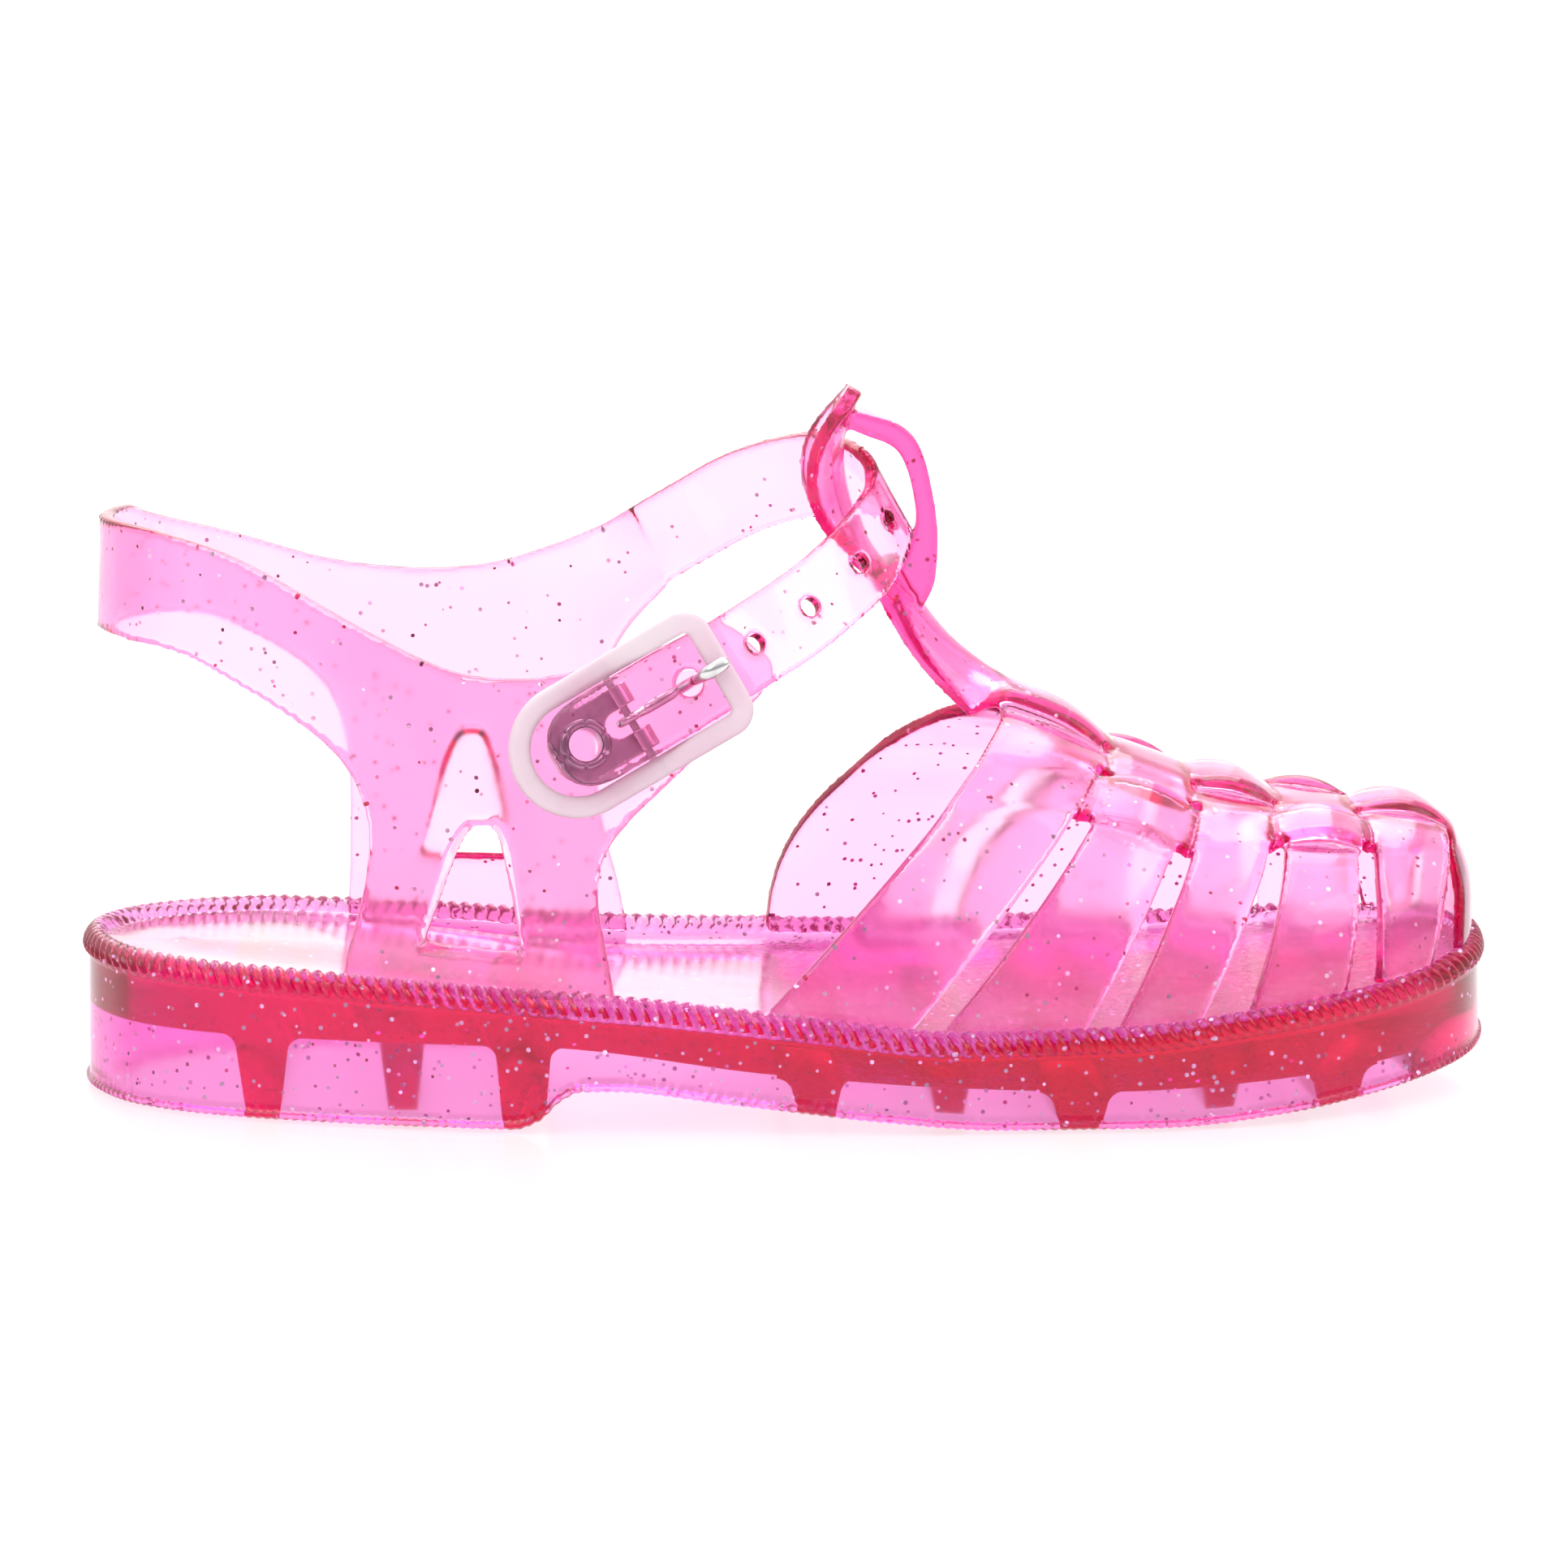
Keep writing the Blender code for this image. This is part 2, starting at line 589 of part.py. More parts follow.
bar = []
route = path_through(LOOP_ROWS, 2)
for k, here in enumerate(route):
    ahead = route[min(k + 1, len(route) - 1)] - route[max(k - 1, 0)]
    ahead.normalize()
    out = Vector((-ahead.y, ahead.x)) * 0.5 * LOOP_THICKNESS
    bar.append([(here.x + side * out.x, LOOP_Y + across * LOOP_HALF, here.y + side * out.y)
                for side, across in ((1, -1), (1, 1), (-1, 1), (-1, -1))])
boolean(cage, loft("loop_bar", bar, cutters), "UNION")
leaf_rows = path_through(LEAF_ROWS, 2)
leaf = []
for z, x, half, back in leaf_rows:
    leaf.append([(x - back * t * t, LEAF_Y + half * t, z) for t in (-1.0, -0.5, 0.0, 0.5, 1.0)])
leaf_object = loft("loop_leaf", leaf, cutters, closed=False, capped=False)
solidify(leaf_object, LEAF_THICKNESS, 0.0)
boolean(cage, leaf_object, "UNION")


# Back upper: a wall that leans in from the rim to the heel strap, cut to the side view of each quarter
def wall_point(angle, t):
    """Inner face of the wall: t is 0 at the rim and 1 at the top height."""
    folded = min(angle % (2 * math.pi), 2 * math.pi - angle % (2 * math.pi))
    name = "lateral" if angle % (2 * math.pi) <= math.pi else "medial"
    top_y = smooth(TOP_ANGLES, column(TOP_COLUMNS, TOP_ROWS, name), folded)
    low = Vector((*inset_point(angle, WALL_INSET), rim(angle) - WALL_DROP))
    top = Vector((-TOP_HALF_LENGTH * math.cos(folded), top_y, TOP_HEIGHT))
    further_in = Vector((*inset_point(angle, WALL_INSET + 1.0), low.z))
    return low.lerp(top, t) + (low - further_in) * WALL_BULGE * math.sin(math.pi * min(t, 1.0))


WALL_COUNT = 26
wall_angles = [WALL_FRONT * math.pi * (1.0 - 2.0 * k / (2 * WALL_COUNT)) for k in range(2 * WALL_COUNT + 1)]
wall_rows = [[wall_point(a, t) for a in wall_angles] for t in (0.0, 0.14, 0.3, 0.48, 0.66, 0.83, 1.0, 1.14)]
back = loft("back_upper", wall_rows, parts, closed=False, capped=False)
solidify(back, WALL, 1.0)


def quarter(*sides):
    return [point for side in sides for point in path_through(side, 2)]


shape = prism("lateral_shape", quarter(LATERAL_LOWER, LATERAL_TOP, LATERAL_FRONT), -60.0, 0.7, cutters)
medial_shape = prism("medial_shape", quarter(MEDIAL_LOWER, MEDIAL_TOP, MEDIAL_FRONT), -0.5, 60.0, cutters)
boolean(shape, medial_shape, "UNION")
boolean(back, shape, "INTERSECT")
boolean(back, prism("lateral_window", quarter(LATERAL_WINDOW), -60.0, -4.0, cutters), "DIFFERENCE")
boolean(back, prism("medial_window", quarter(MEDIAL_WINDOW), 4.0, 60.0, cutters), "DIFFERENCE")


# Frame of the buckle on the outer face of the lateral tab
def tab_point(x, z):
    low, high = 0.0, WALL_FRONT * math.pi
    t = 0.5
    for _ in range(40):
        middle = 0.5 * (low + high)
        for _ in range(12):
            t += (z - wall_point(middle, t).z) / (TOP_HEIGHT - 15.0)
        low, high = (middle, high) if wall_point(middle, t).x < x else (low, middle)
    inner = wall_point(middle, t)
    side = wall_point(middle + 0.02, t) - wall_point(middle - 0.02, t)
    rise = wall_point(middle, t + 0.02) - wall_point(middle, t - 0.02)
    return inner + side.cross(rise).normalized() * WALL


ahead = Vector((math.cos(BUCKLE_ANGLE), math.sin(BUCKLE_ANGLE)))
origin = tab_point(BUCKLE_X, BUCKLE_Z)
along_axis = tab_point(BUCKLE_X + 5 * ahead.x, BUCKLE_Z + 5 * ahead.y)
along_axis = (along_axis - tab_point(BUCKLE_X - 15 * ahead.x, BUCKLE_Z - 15 * ahead.y)).normalized()
across_axis = tab_point(BUCKLE_X - 4 * ahead.y, BUCKLE_Z + 4 * ahead.x)
across_axis = across_axis - tab_point(BUCKLE_X + 4 * ahead.y, BUCKLE_Z - 4 * ahead.x)
out_axis = along_axis.cross(across_axis).normalized()
across_axis = out_axis.cross(along_axis)


def local(a, b, n):
    return origin + along_axis * a + across_axis * b + out_axis * n


# Ankle strap: a ribbon from the medial quarter over the loop to its free end under the buckle
ribbon_rows = [list(row) for row in STRAP_ROWS]
for a, half in BUCKLE_STRAP_ROWS:
    ribbon_rows.append([*local(a, half, STRAP_OUT), *local(a, -half, STRAP_OUT)])
tops = path_through([row[:3] for row in ribbon_rows], STRAP_STEPS)
lows = path_through([row[3:] for row in ribbon_rows], STRAP_STEPS)
ribbon = [[top, top.lerp(low, 0.5), low] for top, low in zip(tops, lows)]
strap = loft("strap", ribbon, cutters, closed=False, capped=False)
solidify(strap, STRAP_THICKNESS, -1.0)


def rod(name, centre, axis, diameter, length, home):
    turn = axis.to_track_quat("Z", "Y")
    rings = []
    for end in (-0.5, 0.5):
        ring = []
        for k in range(16):
            around = 2 * math.pi * k / 16
            flat = 0.5 * diameter * Vector((math.cos(around), math.sin(around), 0.0))
            ring.append(centre + turn @ (flat + Vector((0.0, 0.0, end * length))))
        rings.append(ring)
    return loft(name, rings, home)


middles = [top.lerp(low, 0.5) for top, low in zip(tops, lows)]
prong_hole = local(-0.2, 0.0, STRAP_OUT)
k = min(range(len(middles)), key=lambda i: (middles[i] - prong_hole).length)
walked = (middles[k] - prong_hole).dot(along_axis)
for number in range(HOLE_COUNT):
    while walked < HOLE_PITCH * (number + 1):
        k -= 1
        walked += (middles[k] - middles[k + 1]).length
    back_by = (walked - HOLE_PITCH * (number + 1)) / (middles[k] - middles[k + 1]).length
    centre = middles[k].lerp(middles[k + 1], back_by)
    normal = (middles[k] - middles[k + 1]).cross(tops[k] - lows[k]).normalized()
    boolean(strap, rod(f"hole_{number}", centre, normal, HOLE_DIAMETER, 8.0, cutters), "DIFFERENCE")
boolean(strap, rod("prong_hole", prong_hole, out_axis, PRONG_HOLE_DIAMETER, 6.0, cutters), "DIFFERENCE")
boolean(back, strap, "UNION")
rivet_room = RIVET_BARREL + 2 * RIVET_CLEARANCE
boolean(back, rod("rivet_hole", local(RIVET_AT, 0.0, -1.0), out_axis, rivet_room, 6.0, cutters), "DIFFERENCE")
material(back, "pvc_rose", (0.96, 0.36, 0.74), 0.15, transmission=0.6)


# Buckle: frame, plate, prong and eyelet
def swept(name, route, out_of, sides, home, ring=True):
    """Section of the given half sizes swept along a route in the buckle's frame."""
    rings = []
    for k, (a, b) in enumerate(route):
        before = route[k - 1] if ring or k else route[k]
        after = route[(k + 1) % len(route)] if ring or k + 1 < len(route) else route[k]
        run = Vector((after[0] - before[0], after[1] - before[1])).normalized()
        rings.append([local(a - run.y * w, b + run.x * w, out_of(a) + n) for w, n in sides])
    if ring:
        rings.append(rings[0])
    return loft(name, rings, home, capped=not ring)


frame_route = [(FRAME_CROSSBAR, b) for b in (-3.0, 0.0, 3.0)]
for k in range(4):
    turn = math.radians(10 + 70 * k / 3)
    frame_route.append((FRAME_CROSSBAR - 2.0 + 2.0 * math.cos(turn), FRAME_HALF - 2.0 + 2.0 * math.sin(turn)))
frame_route += [(a, FRAME_HALF) for a in (-2.0, -6.0, -10.0)]
for k in range(11):
    turn = math.radians(90 + 180 * k / 10)
    frame_route.append((FRAME_ROUND_END + FRAME_HALF * math.cos(turn), FRAME_HALF * math.sin(turn)))
frame_route += [(a, -FRAME_HALF) for a in (-10.0, -6.0, -2.0)]
for k in range(4):
    turn = math.radians(-80 + 70 * k / 3)
    frame_route.append((FRAME_CROSSBAR - 2.0 + 2.0 * math.cos(turn), 2.0 - FRAME_HALF + 2.0 * math.sin(turn)))


def frame_out(a):
    t = min(max((a - FRAME_ROUND_END) / (FRAME_CROSSBAR - 1.5 - FRAME_ROUND_END), 0.0), 1.0)
    return FRAME_OUT_ROUND + (FRAME_OUT_CROSSBAR - FRAME_OUT_ROUND) * t * t


half_w = 0.5 * FRAME_WIDTH
half_n = 0.5 * FRAME_THICKNESS
frame_section = [
    (-half_w, -0.5 * half_n), (-half_w, 0.5 * half_n), (-0.5 * half_w, half_n), (0.5 * half_w, half_n),
    (half_w, 0.5 * half_n), (half_w, -0.5 * half_n), (0.5 * half_w, -half_n), (-0.5 * half_w, -half_n),
]
frame = swept("buckle_frame", frame_route, frame_out, frame_section, parts)
pivot = rod("pivot", local(PIVOT, 0.0, PIVOT_OUT), across_axis, PIVOT_DIAMETER, 2 * FRAME_HALF, cutters)
for side in (-1, 1):
    foot = local(PIVOT, side * FRAME_HALF, 0.5 * (PIVOT_OUT + frame_out(PIVOT)))
    boolean(pivot, rod(f"post_{side}", foot, out_axis, 1.7, 2.6, cutters), "UNION")
boolean(frame, pivot, "UNION")
material(frame, "frosted_plastic", (0.80, 0.72, 0.78), 0.45)


def plate_profile():
    """Side view of the plate, folded round the pivot."""
    outer = PIVOT_OUT - PLATE_OUT
    profile = [(PLATE_END, PLATE_OUT)]
    for radius, turns in ((outer, range(0, 211, 30)), (outer - PLATE_THICKNESS, range(210, -1, -30))):
        for t in turns:
            turn = math.radians(t)
            profile.append((PIVOT + radius * math.sin(turn), PIVOT_OUT - radius * math.cos(turn)))
    return profile + [(PLATE_END, PLATE_OUT + PLATE_THICKNESS)]


def across_buckle(name, profile, half, home):
    return loft(name, [[local(a, b, n) for a, n in profile] for b in (-half, half)], home)


plate = across_buckle("buckle_plate", plate_profile(), PLATE_HALF, parts)
slot_profile = ((PLATE_SLOT_END, -2.0), (0.0, -2.0), (0.0, 8.0), (PLATE_SLOT_END, 8.0))
boolean(plate, across_buckle("plate_slot", slot_profile, PLATE_SLOT_HALF, cutters), "DIFFERENCE")
boolean(plate, rod("plate_hole", local(RIVET_AT, 0.0, 0.5), out_axis, rivet_room, 4.0, cutters), "DIFFERENCE")
material(plate, "grey_metal", (0.42, 0.38, 0.42), 0.35, metallic=1.0)

hook = []
hook_middle = 0.5 * PIVOT_DIAMETER + 0.25 + 0.5 * HOOK_DIAMETER
for t in range(-200, 61, 26):
    turn = math.radians(t)
    hook.append((PIVOT + hook_middle * math.sin(turn), PIVOT_OUT + hook_middle * math.cos(turn)))
prong_route = hook + [tuple(p) for p in path_through(PRONG_ROWS, 2)]
prong_rings = []
for k, (a, n) in enumerate(prong_route):
    before = prong_route[max(k - 1, 0)]
    after = prong_route[min(k + 1, len(prong_route) - 1)]
    run = Vector((after[0] - before[0], after[1] - before[1])).normalized()
    radius = 0.5 * (HOOK_DIAMETER if k < len(hook) else PRONG_DIAMETER)
    ring = []
    for side in range(10):
        turn = 2 * math.pi * side / 10
        w = radius * math.cos(turn)
        ring.append(local(a - run.y * w, radius * math.sin(turn), n + run.x * w))
    prong_rings.append(ring)
prong = loft("buckle_prong", prong_rings, parts)
material(prong, "silver_metal", (0.72, 0.71, 0.72), 0.2, metallic=1.0)

flange_high = PLATE_OUT + PLATE_THICKNESS + RIVET_CLEARANCE
flange_low = -WALL - 2 * RIVET_CLEARANCE
rivet_section = (
    (0.5 * RIVET_HOLE, flange_low - RIVET_FLANGE_THICKNESS),
    (0.5 * RIVET_FLANGE, flange_low - RIVET_FLANGE_THICKNESS),
    (0.5 * RIVET_FLANGE, flange_low),
    (0.5 * RIVET_BARREL, flange_low),
    (0.5 * RIVET_BARREL, flange_high),
    (0.5 * RIVET_FLANGE, flange_high),
    (0.5 * RIVET_FLANGE, flange_high + 0.6 * RIVET_FLANGE_THICKNESS),
    (0.5 * RIVET_HOLE, flange_high + RIVET_FLANGE_THICKNESS),
)
rivet_rings = []
for k in range(25):
    turn = 2 * math.pi * (k % 24) / 24
    east = math.cos(turn)
    north = math.sin(turn)
    rivet_rings.append([local(RIVET_AT + radius * east, radius * north, n) for radius, n in rivet_section])
rivet = loft("buckle_rivet", rivet_rings, parts, capped=False)
material(rivet, "eyelet_metal", (0.70, 0.68, 0.70), 0.25, metallic=1.0)
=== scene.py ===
import bisect
import math

import bmesh
import bpy
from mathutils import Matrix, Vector
from mathutils.bvhtree import BVHTree


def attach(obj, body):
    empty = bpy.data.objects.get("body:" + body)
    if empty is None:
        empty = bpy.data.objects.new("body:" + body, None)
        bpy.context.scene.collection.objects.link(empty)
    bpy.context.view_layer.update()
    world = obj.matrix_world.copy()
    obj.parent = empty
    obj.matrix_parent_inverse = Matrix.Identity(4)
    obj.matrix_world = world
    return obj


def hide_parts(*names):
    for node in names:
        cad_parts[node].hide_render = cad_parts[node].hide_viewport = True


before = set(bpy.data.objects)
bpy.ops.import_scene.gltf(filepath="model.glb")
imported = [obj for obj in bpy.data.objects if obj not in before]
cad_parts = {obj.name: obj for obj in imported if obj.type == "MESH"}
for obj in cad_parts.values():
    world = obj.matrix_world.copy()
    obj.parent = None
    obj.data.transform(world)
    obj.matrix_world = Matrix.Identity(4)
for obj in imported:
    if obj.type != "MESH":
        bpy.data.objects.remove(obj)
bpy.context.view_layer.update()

# Sole: the thick bottom of the shoe, one shot of clear crimson glitter PVC, hollow underneath between its
# cross ribs. A knurled welt runs round the rim and a serrated bead round the foot of the side.
MM = 0.001
ROW_ORIGIN = Vector((0.8, 0.5, 0.0))
SOLE_HALF_LENGTH = 85.7
SOLE_MIDDLE = 0.8
# x, then lateral edge, medial edge, lateral rim height and medial rim height
SOLE_ROWS = (
    (-84.9, 0.8, 0.8, 19.0, 19.0), (-82.6, -9.0, 10.2, 18.9, 18.8), (-79.0, -14.6, 15.6, 18.8, 18.5),
    (-69.5, -21.3, 22.6, 18.5, 18.0), (-60.0, -24.8, 25.8, 18.2, 17.5), (-45.0, -28.8, 26.0, 17.5, 16.8),
    (-20.0, -32.8, 22.9, 16.0, 15.5), (0.0, -33.6, 26.6, 13.8, 14.2), (20.0, -34.2, 32.8, 11.7, 12.9),
    (40.0, -34.0, 35.2, 12.1, 12.8), (55.0, -31.4, 34.2, 13.4, 13.4), (70.0, -24.8, 29.0, 14.8, 15.0),
    (78.0, -18.5, 23.2, 15.9, 16.0), (83.0, -12.0, 17.6, 16.8, 16.8), (86.5, 4.0, 4.0, 17.4, 17.4),
)
BOTTOM_ROWS = (
    (-86.5, 0.0), (-33.0, 0.0), (-30.0, 1.1), (-27.5, 3.5), (-25.0, 4.7), (-21.0, 4.8), (-8.0, 3.3),
    (0.0, 2.3), (10.0, 1.1), (25.0, 0.0), (45.0, 0.0), (60.0, 0.9), (72.0, 2.2), (86.5, 4.2),
)
RECESS_ROWS = ((-86.5, 1.8), (-60.0, 2.0), (-20.0, 3.6), (10.0, 3.2), (40.0, 2.4), (86.5, 2.6))
CEILING_ROWS = ((-86.5, 9.6), (-30.0, 9.6), (-2.0, 6.4), (20.0, 4.7), (38.0, 4.1), (62.0, 4.8), (86.5, 6.6))
# Rings of the side from the ground to the footbed: inset, datum, rise, share of welt knurl, share of bead
SIDE_ROWS = (
    (1.6, "ground", 0.0, 0.0, 0.0), (0.75, "ground", 0.0, 0.0, 0.3), (0.25, "ground", 0.12, 0.0, 1.0),
    (-0.2, "ground", 0.4, 0.0, 1.0), (-0.25, "ground", 0.8, 0.0, 1.0), (0.1, "ground", 1.2, 0.0, 0.0),
    (0.15, "ground", 2.0, None, None), (0.2, "half", 0.0, None, None), (0.3, "rim", -3.6, None, None),
    (0.3, "rim", -3.1, 0.0, 0.0), (0.1, "rim", -2.75, 0.25, 0.0), (-0.15, "rim", -2.35, 0.7, 0.0),
    (-0.2, "rim", -1.8, 1.0, 0.0), (-0.05, "rim", -1.2, 1.0, 0.0), (0.25, "rim", -0.65, 1.0, 0.0),
    (0.65, "rim", -0.25, 1.0, 0.0), (1.1, "rim", -0.05, 1.0, 0.0), (1.6, "rim", -0.15, 1.0, 0.0),
    (2.05, "rim", -0.45, 0.9, 0.0), (2.45, "rim", -0.9, 0.5, 0.0), (2.75, "rim", -1.4, 0.0, 0.0),
)
SOLE_STEPS = 500
FINE_STEPS = 3
OUTLINE_SAMPLES = 2000
NEAR = 0.02
SAME_PLACE = 0.002
SPINE_SHARE = 0.84
# Inset and share of the cup's depth down the inside of the rim, then shares of the way on to the middle
LIP_ROWS = ((3.3, 0.5), (4.4, 0.85))
BED_LINES = (0.0, 0.08, 0.18, 0.3, 0.45, 0.62, 0.8)
CUP_INSET = 5.6
CUP_LEAST = 1.6
CUP_SHARE = 0.9
WELT_FOOT = 1.4
WELT_PITCH = 1.65
WELT_DEPTH = 0.55
WELT_SLANT = 0.34
WELT_GROOVE = 0.45
BEAD_PITCH = 1.15
BEAD_DEPTH = 0.2
BEAD_GROOVE = 0.5
SKIRT_FOOT = 2.3
SKIRT_TOP = 3.3
TOE_CELL_END = 74.5
CELL_STEPS = 240
CELL_FLOOR = -4.0
RIB_FILLET = 1.5
RIB_FILLET_STEPS = 6
RIB_FLOOR = 6.0
RIB_ROOF = 3.0
RIB_REACH = 50.0
SLIVER = 0.004
# x of each rib, width at its top and foot, gap from its end to the skirt
RIB_ROWS = (
    (-62.5, 6.6, 4.0, None), (-46.0, 5.6, 3.4, 8.0), (-31.6, 6.6, 5.0, None), (2.8, 6.4, 3.6, None),
    (19.0, 5.0, 3.2, 8.0), (34.0, 7.2, 5.0, None), (51.3, 4.8, 3.2, 8.0), (65.0, 6.8, 4.6, None),
)


def curve(xs, ys):
    """Cubic curve through points that doesn't swing past them, held at its ends."""
    slopes = [(ys[i + 1] - ys[i]) / (xs[i + 1] - xs[i]) for i in range(len(xs) - 1)]
    tangents = [slopes[0]]
    for before, after in zip(slopes, slopes[1:]):
        tangents.append(0.0 if before * after <= 0 else 2 * before * after / (before + after))
    tangents.append(slopes[-1])

    def at(x):
        if x <= xs[0]:
            return ys[0]
        if x >= xs[-1]:
            return ys[-1]
        i = bisect.bisect_right(xs, x) - 1
        width = xs[i + 1] - xs[i]
        t = (x - xs[i]) / width
        rise = ys[i + 1] - ys[i]
        start = tangents[i] * width
        end = tangents[i + 1] * width
        return ys[i] + t * (start + t * (3 * rise - 2 * start - end + t * (start + end - 2 * rise)))

    return at


def columns(rows):
    return [list(values) for values in zip(*rows)]


bottom = curve(*columns(BOTTOM_ROWS))
recess = curve(*columns(RECESS_ROWS))
ceiling = curve(*columns(CEILING_ROWS))


def sole_angle(x):
    return math.acos((SOLE_MIDDLE - x) / SOLE_HALF_LENGTH)


row_angles = [sole_angle(row[0]) for row in SOLE_ROWS]
lateral_edge, medial_edge, lateral_rim, medial_rim = (curve(row_angles, c) for c in columns(SOLE_ROWS)[1:])


def outline(angle):
    angle %= 2 * math.pi
    y = lateral_edge(angle) if angle <= math.pi else medial_edge(2 * math.pi - angle)
    return Vector((SOLE_MIDDLE - SOLE_HALF_LENGTH * math.cos(angle), y))


def rim(angle):
    angle %= 2 * math.pi
    return lateral_rim(angle) if angle <= math.pi else medial_rim(2 * math.pi - angle)


def inset_point(angle, inset):
    step = outline(angle + NEAR) - outline(angle - NEAR)
    return outline(angle) + Vector((-step.y, step.x)).normalized() * inset


def spine(angle):
    return Vector((SPINE_SHARE * outline(angle).x, 0.5 * (outline(angle).y + outline(-angle).y)))


def even_angles(count):
    """Angles round the outline, alike on both sides, at even steps of the mean length of the two sides."""
    samples = [math.pi * k / OUTLINE_SAMPLES for k in range(OUTLINE_SAMPLES + 1)]
    lengths = [0.0]
    for a, b in zip(samples, samples[1:]):
        step = (outline(b) - outline(a)).length + (outline(-b) - outline(-a)).length
        lengths.append(lengths[-1] + 0.5 * step)
    half = []
    for k in range(count // 2 + 1):
        wanted = lengths[-1] * k / (count // 2)
        i = min(bisect.bisect_right(lengths, wanted) - 1, OUTLINE_SAMPLES - 1)
        step = samples[i + 1] - samples[i]
        half.append(samples[i] + step * (wanted - lengths[i]) / (lengths[i + 1] - lengths[i]))
    return half + [2 * math.pi - a for a in half[-2:0:-1]]


def linked(name, data):
    made = bpy.data.objects.new(name, data)
    bpy.context.scene.collection.objects.link(made)
    return made


def mesh_of(name, points, faces, attributes=None):
    """Object in metres from points in millimetres, with a value for each point in each named attribute."""
    mesh = bpy.data.meshes.new(name)
    mesh.from_pydata([(Vector(p) - ROW_ORIGIN) * MM for p in points], [], faces)
    for label, values in (attributes or {}).items():
        mesh.attributes.new(label, "FLOAT", "POINT").data.foreach_set("value", values)
    return linked(name, mesh)


def face_out(made):
    work = bmesh.new()
    work.from_mesh(made.data)
    bmesh.ops.remove_doubles(work, verts=work.verts, dist=SAME_PLACE * MM)
    bmesh.ops.recalc_face_normals(work, faces=work.faces)
    work.to_mesh(made.data)
    work.free()
    return made


def plain(made, name):
    """The evaluated object as a plain mesh under its own name. The objects it came from are removed."""
    graph = bpy.context.evaluated_depsgraph_get()
    mesh = bpy.data.meshes.new_from_object(made.evaluated_get(graph))
    tools = {made} | {change.object for change in made.modifiers if change.type == "BOOLEAN"}
    for tool in tools:
        bpy.data.objects.remove(tool, do_unlink=True)
    mesh.name = name
    return linked(name, mesh)


def boolean(made, other, operation, solver="EXACT"):
    change = made.modifiers.new(operation.lower(), "BOOLEAN")
    change.operation = operation
    change.solver = solver
    change.object = other
    other.hide_render = True


def loft(name, rings, closed=True, capped=True):
    count = len(rings[0])
    faces = []
    for r in range(len(rings) - 1):
        for k in range(count if closed else count - 1):
            n = (k + 1) % count
            faces.append((r * count + k, r * count + n, (r + 1) * count + n, (r + 1) * count + k))
    if capped:
        faces.append(tuple(range(count)))
        faces.append(tuple((len(rings) - 1) * count + k for k in range(count)))
    return face_out(mesh_of(name, [p for ring in rings for p in ring], faces))


def prism(name, view, low, high):
    """Block from low to high across the shoe, with the given side view."""
    return loft(name, [[(x, across, z) for x, z in view] for across in (low, high)])


def socket_of(sockets, name):
    """The socket in use under a name, or the first in use."""
    return next(s for s in sockets if s.enabled and name in (None, s.name))


class Wire:
    """An output socket. Sums on wires add Math nodes, and Wire.node adds any other node."""

    def __init__(self, tree, socket):
        self.tree = tree
        self.socket = socket

    @staticmethod
    def node(tree, kind, values=None, output=None, **settings):
        made = tree.nodes.new(kind)
        for name, value in settings.items():
            setattr(made, name, value)
        for name, value in (values or {}).items():
            Wire.feed(tree, socket_of(made.inputs, name), value)
        return Wire(tree, socket_of(made.outputs, output))

    @staticmethod
    def feed(tree, socket, value):
        if isinstance(value, Wire):
            tree.links.new(value.socket, socket)
        else:
            socket.default_value = value

    def other(self, output):
        return Wire(self.tree, socket_of(self.socket.node.outputs, output))

    def into(self, node, name):
        self.tree.links.new(self.socket, socket_of(node.inputs, name))

    def math(self, operation, *others):
        made = self.tree.nodes.new("ShaderNodeMath")
        made.operation = operation
        for socket, value in zip(made.inputs, (self, *others)):
            Wire.feed(self.tree, socket, value)
        return Wire(self.tree, made.outputs[0])

    def __add__(self, other):
        return self.math("ADD", other)

    __radd__ = __add__

    def __mul__(self, other):
        return self.math("MULTIPLY", other)

    __rmul__ = __mul__

    def __sub__(self, other):
        return self.math("SUBTRACT", other)

    def __rsub__(self, other):
        return (self * -1.0).math("ADD", other)

    def ramp(self, low, high):
        """0 below low, 1 above high, smooth between."""
        return Wire.node(self.tree, "ShaderNodeMapRange",
                         {"Value": self, "From Min": low, "From Max": high}, interpolation_type="SMOOTHSTEP")

    def scaled(self, amount):
        return Wire.node(self.tree, "ShaderNodeVectorMath", {"Vector": self, "Scale": amount},
                         operation="SCALE")


def geometry_tree(name, sizes):
    """Geometry Nodes tree with a named input for each size: the tree, its group input and output."""
    tree = bpy.data.node_groups.new(name, "GeometryNodeTree")
    tree.interface.new_socket("Geometry", in_out="INPUT", socket_type="NodeSocketGeometry")
    for label in sizes:
        kind = "NodeSocketInt" if label == "Seed" else "NodeSocketFloat"
        tree.interface.new_socket(label, in_out="INPUT", socket_type=kind)
    tree.interface.new_socket("Geometry", in_out="OUTPUT", socket_type="NodeSocketGeometry")
    return tree, Wire(tree, tree.nodes.new("NodeGroupInput").outputs[0]), tree.nodes.new("NodeGroupOutput")


def grown(made, tree, sizes, name):
    """The object with the tree's modifier applied, as a plain mesh."""
    change = made.modifiers.new(tree.name, "NODES")
    change.node_group = tree
    for socket in tree.interface.items_tree:
        if socket.in_out == "INPUT" and socket.name in sizes:
            change[socket.identifier] = sizes[socket.name]
    return plain(made, name)


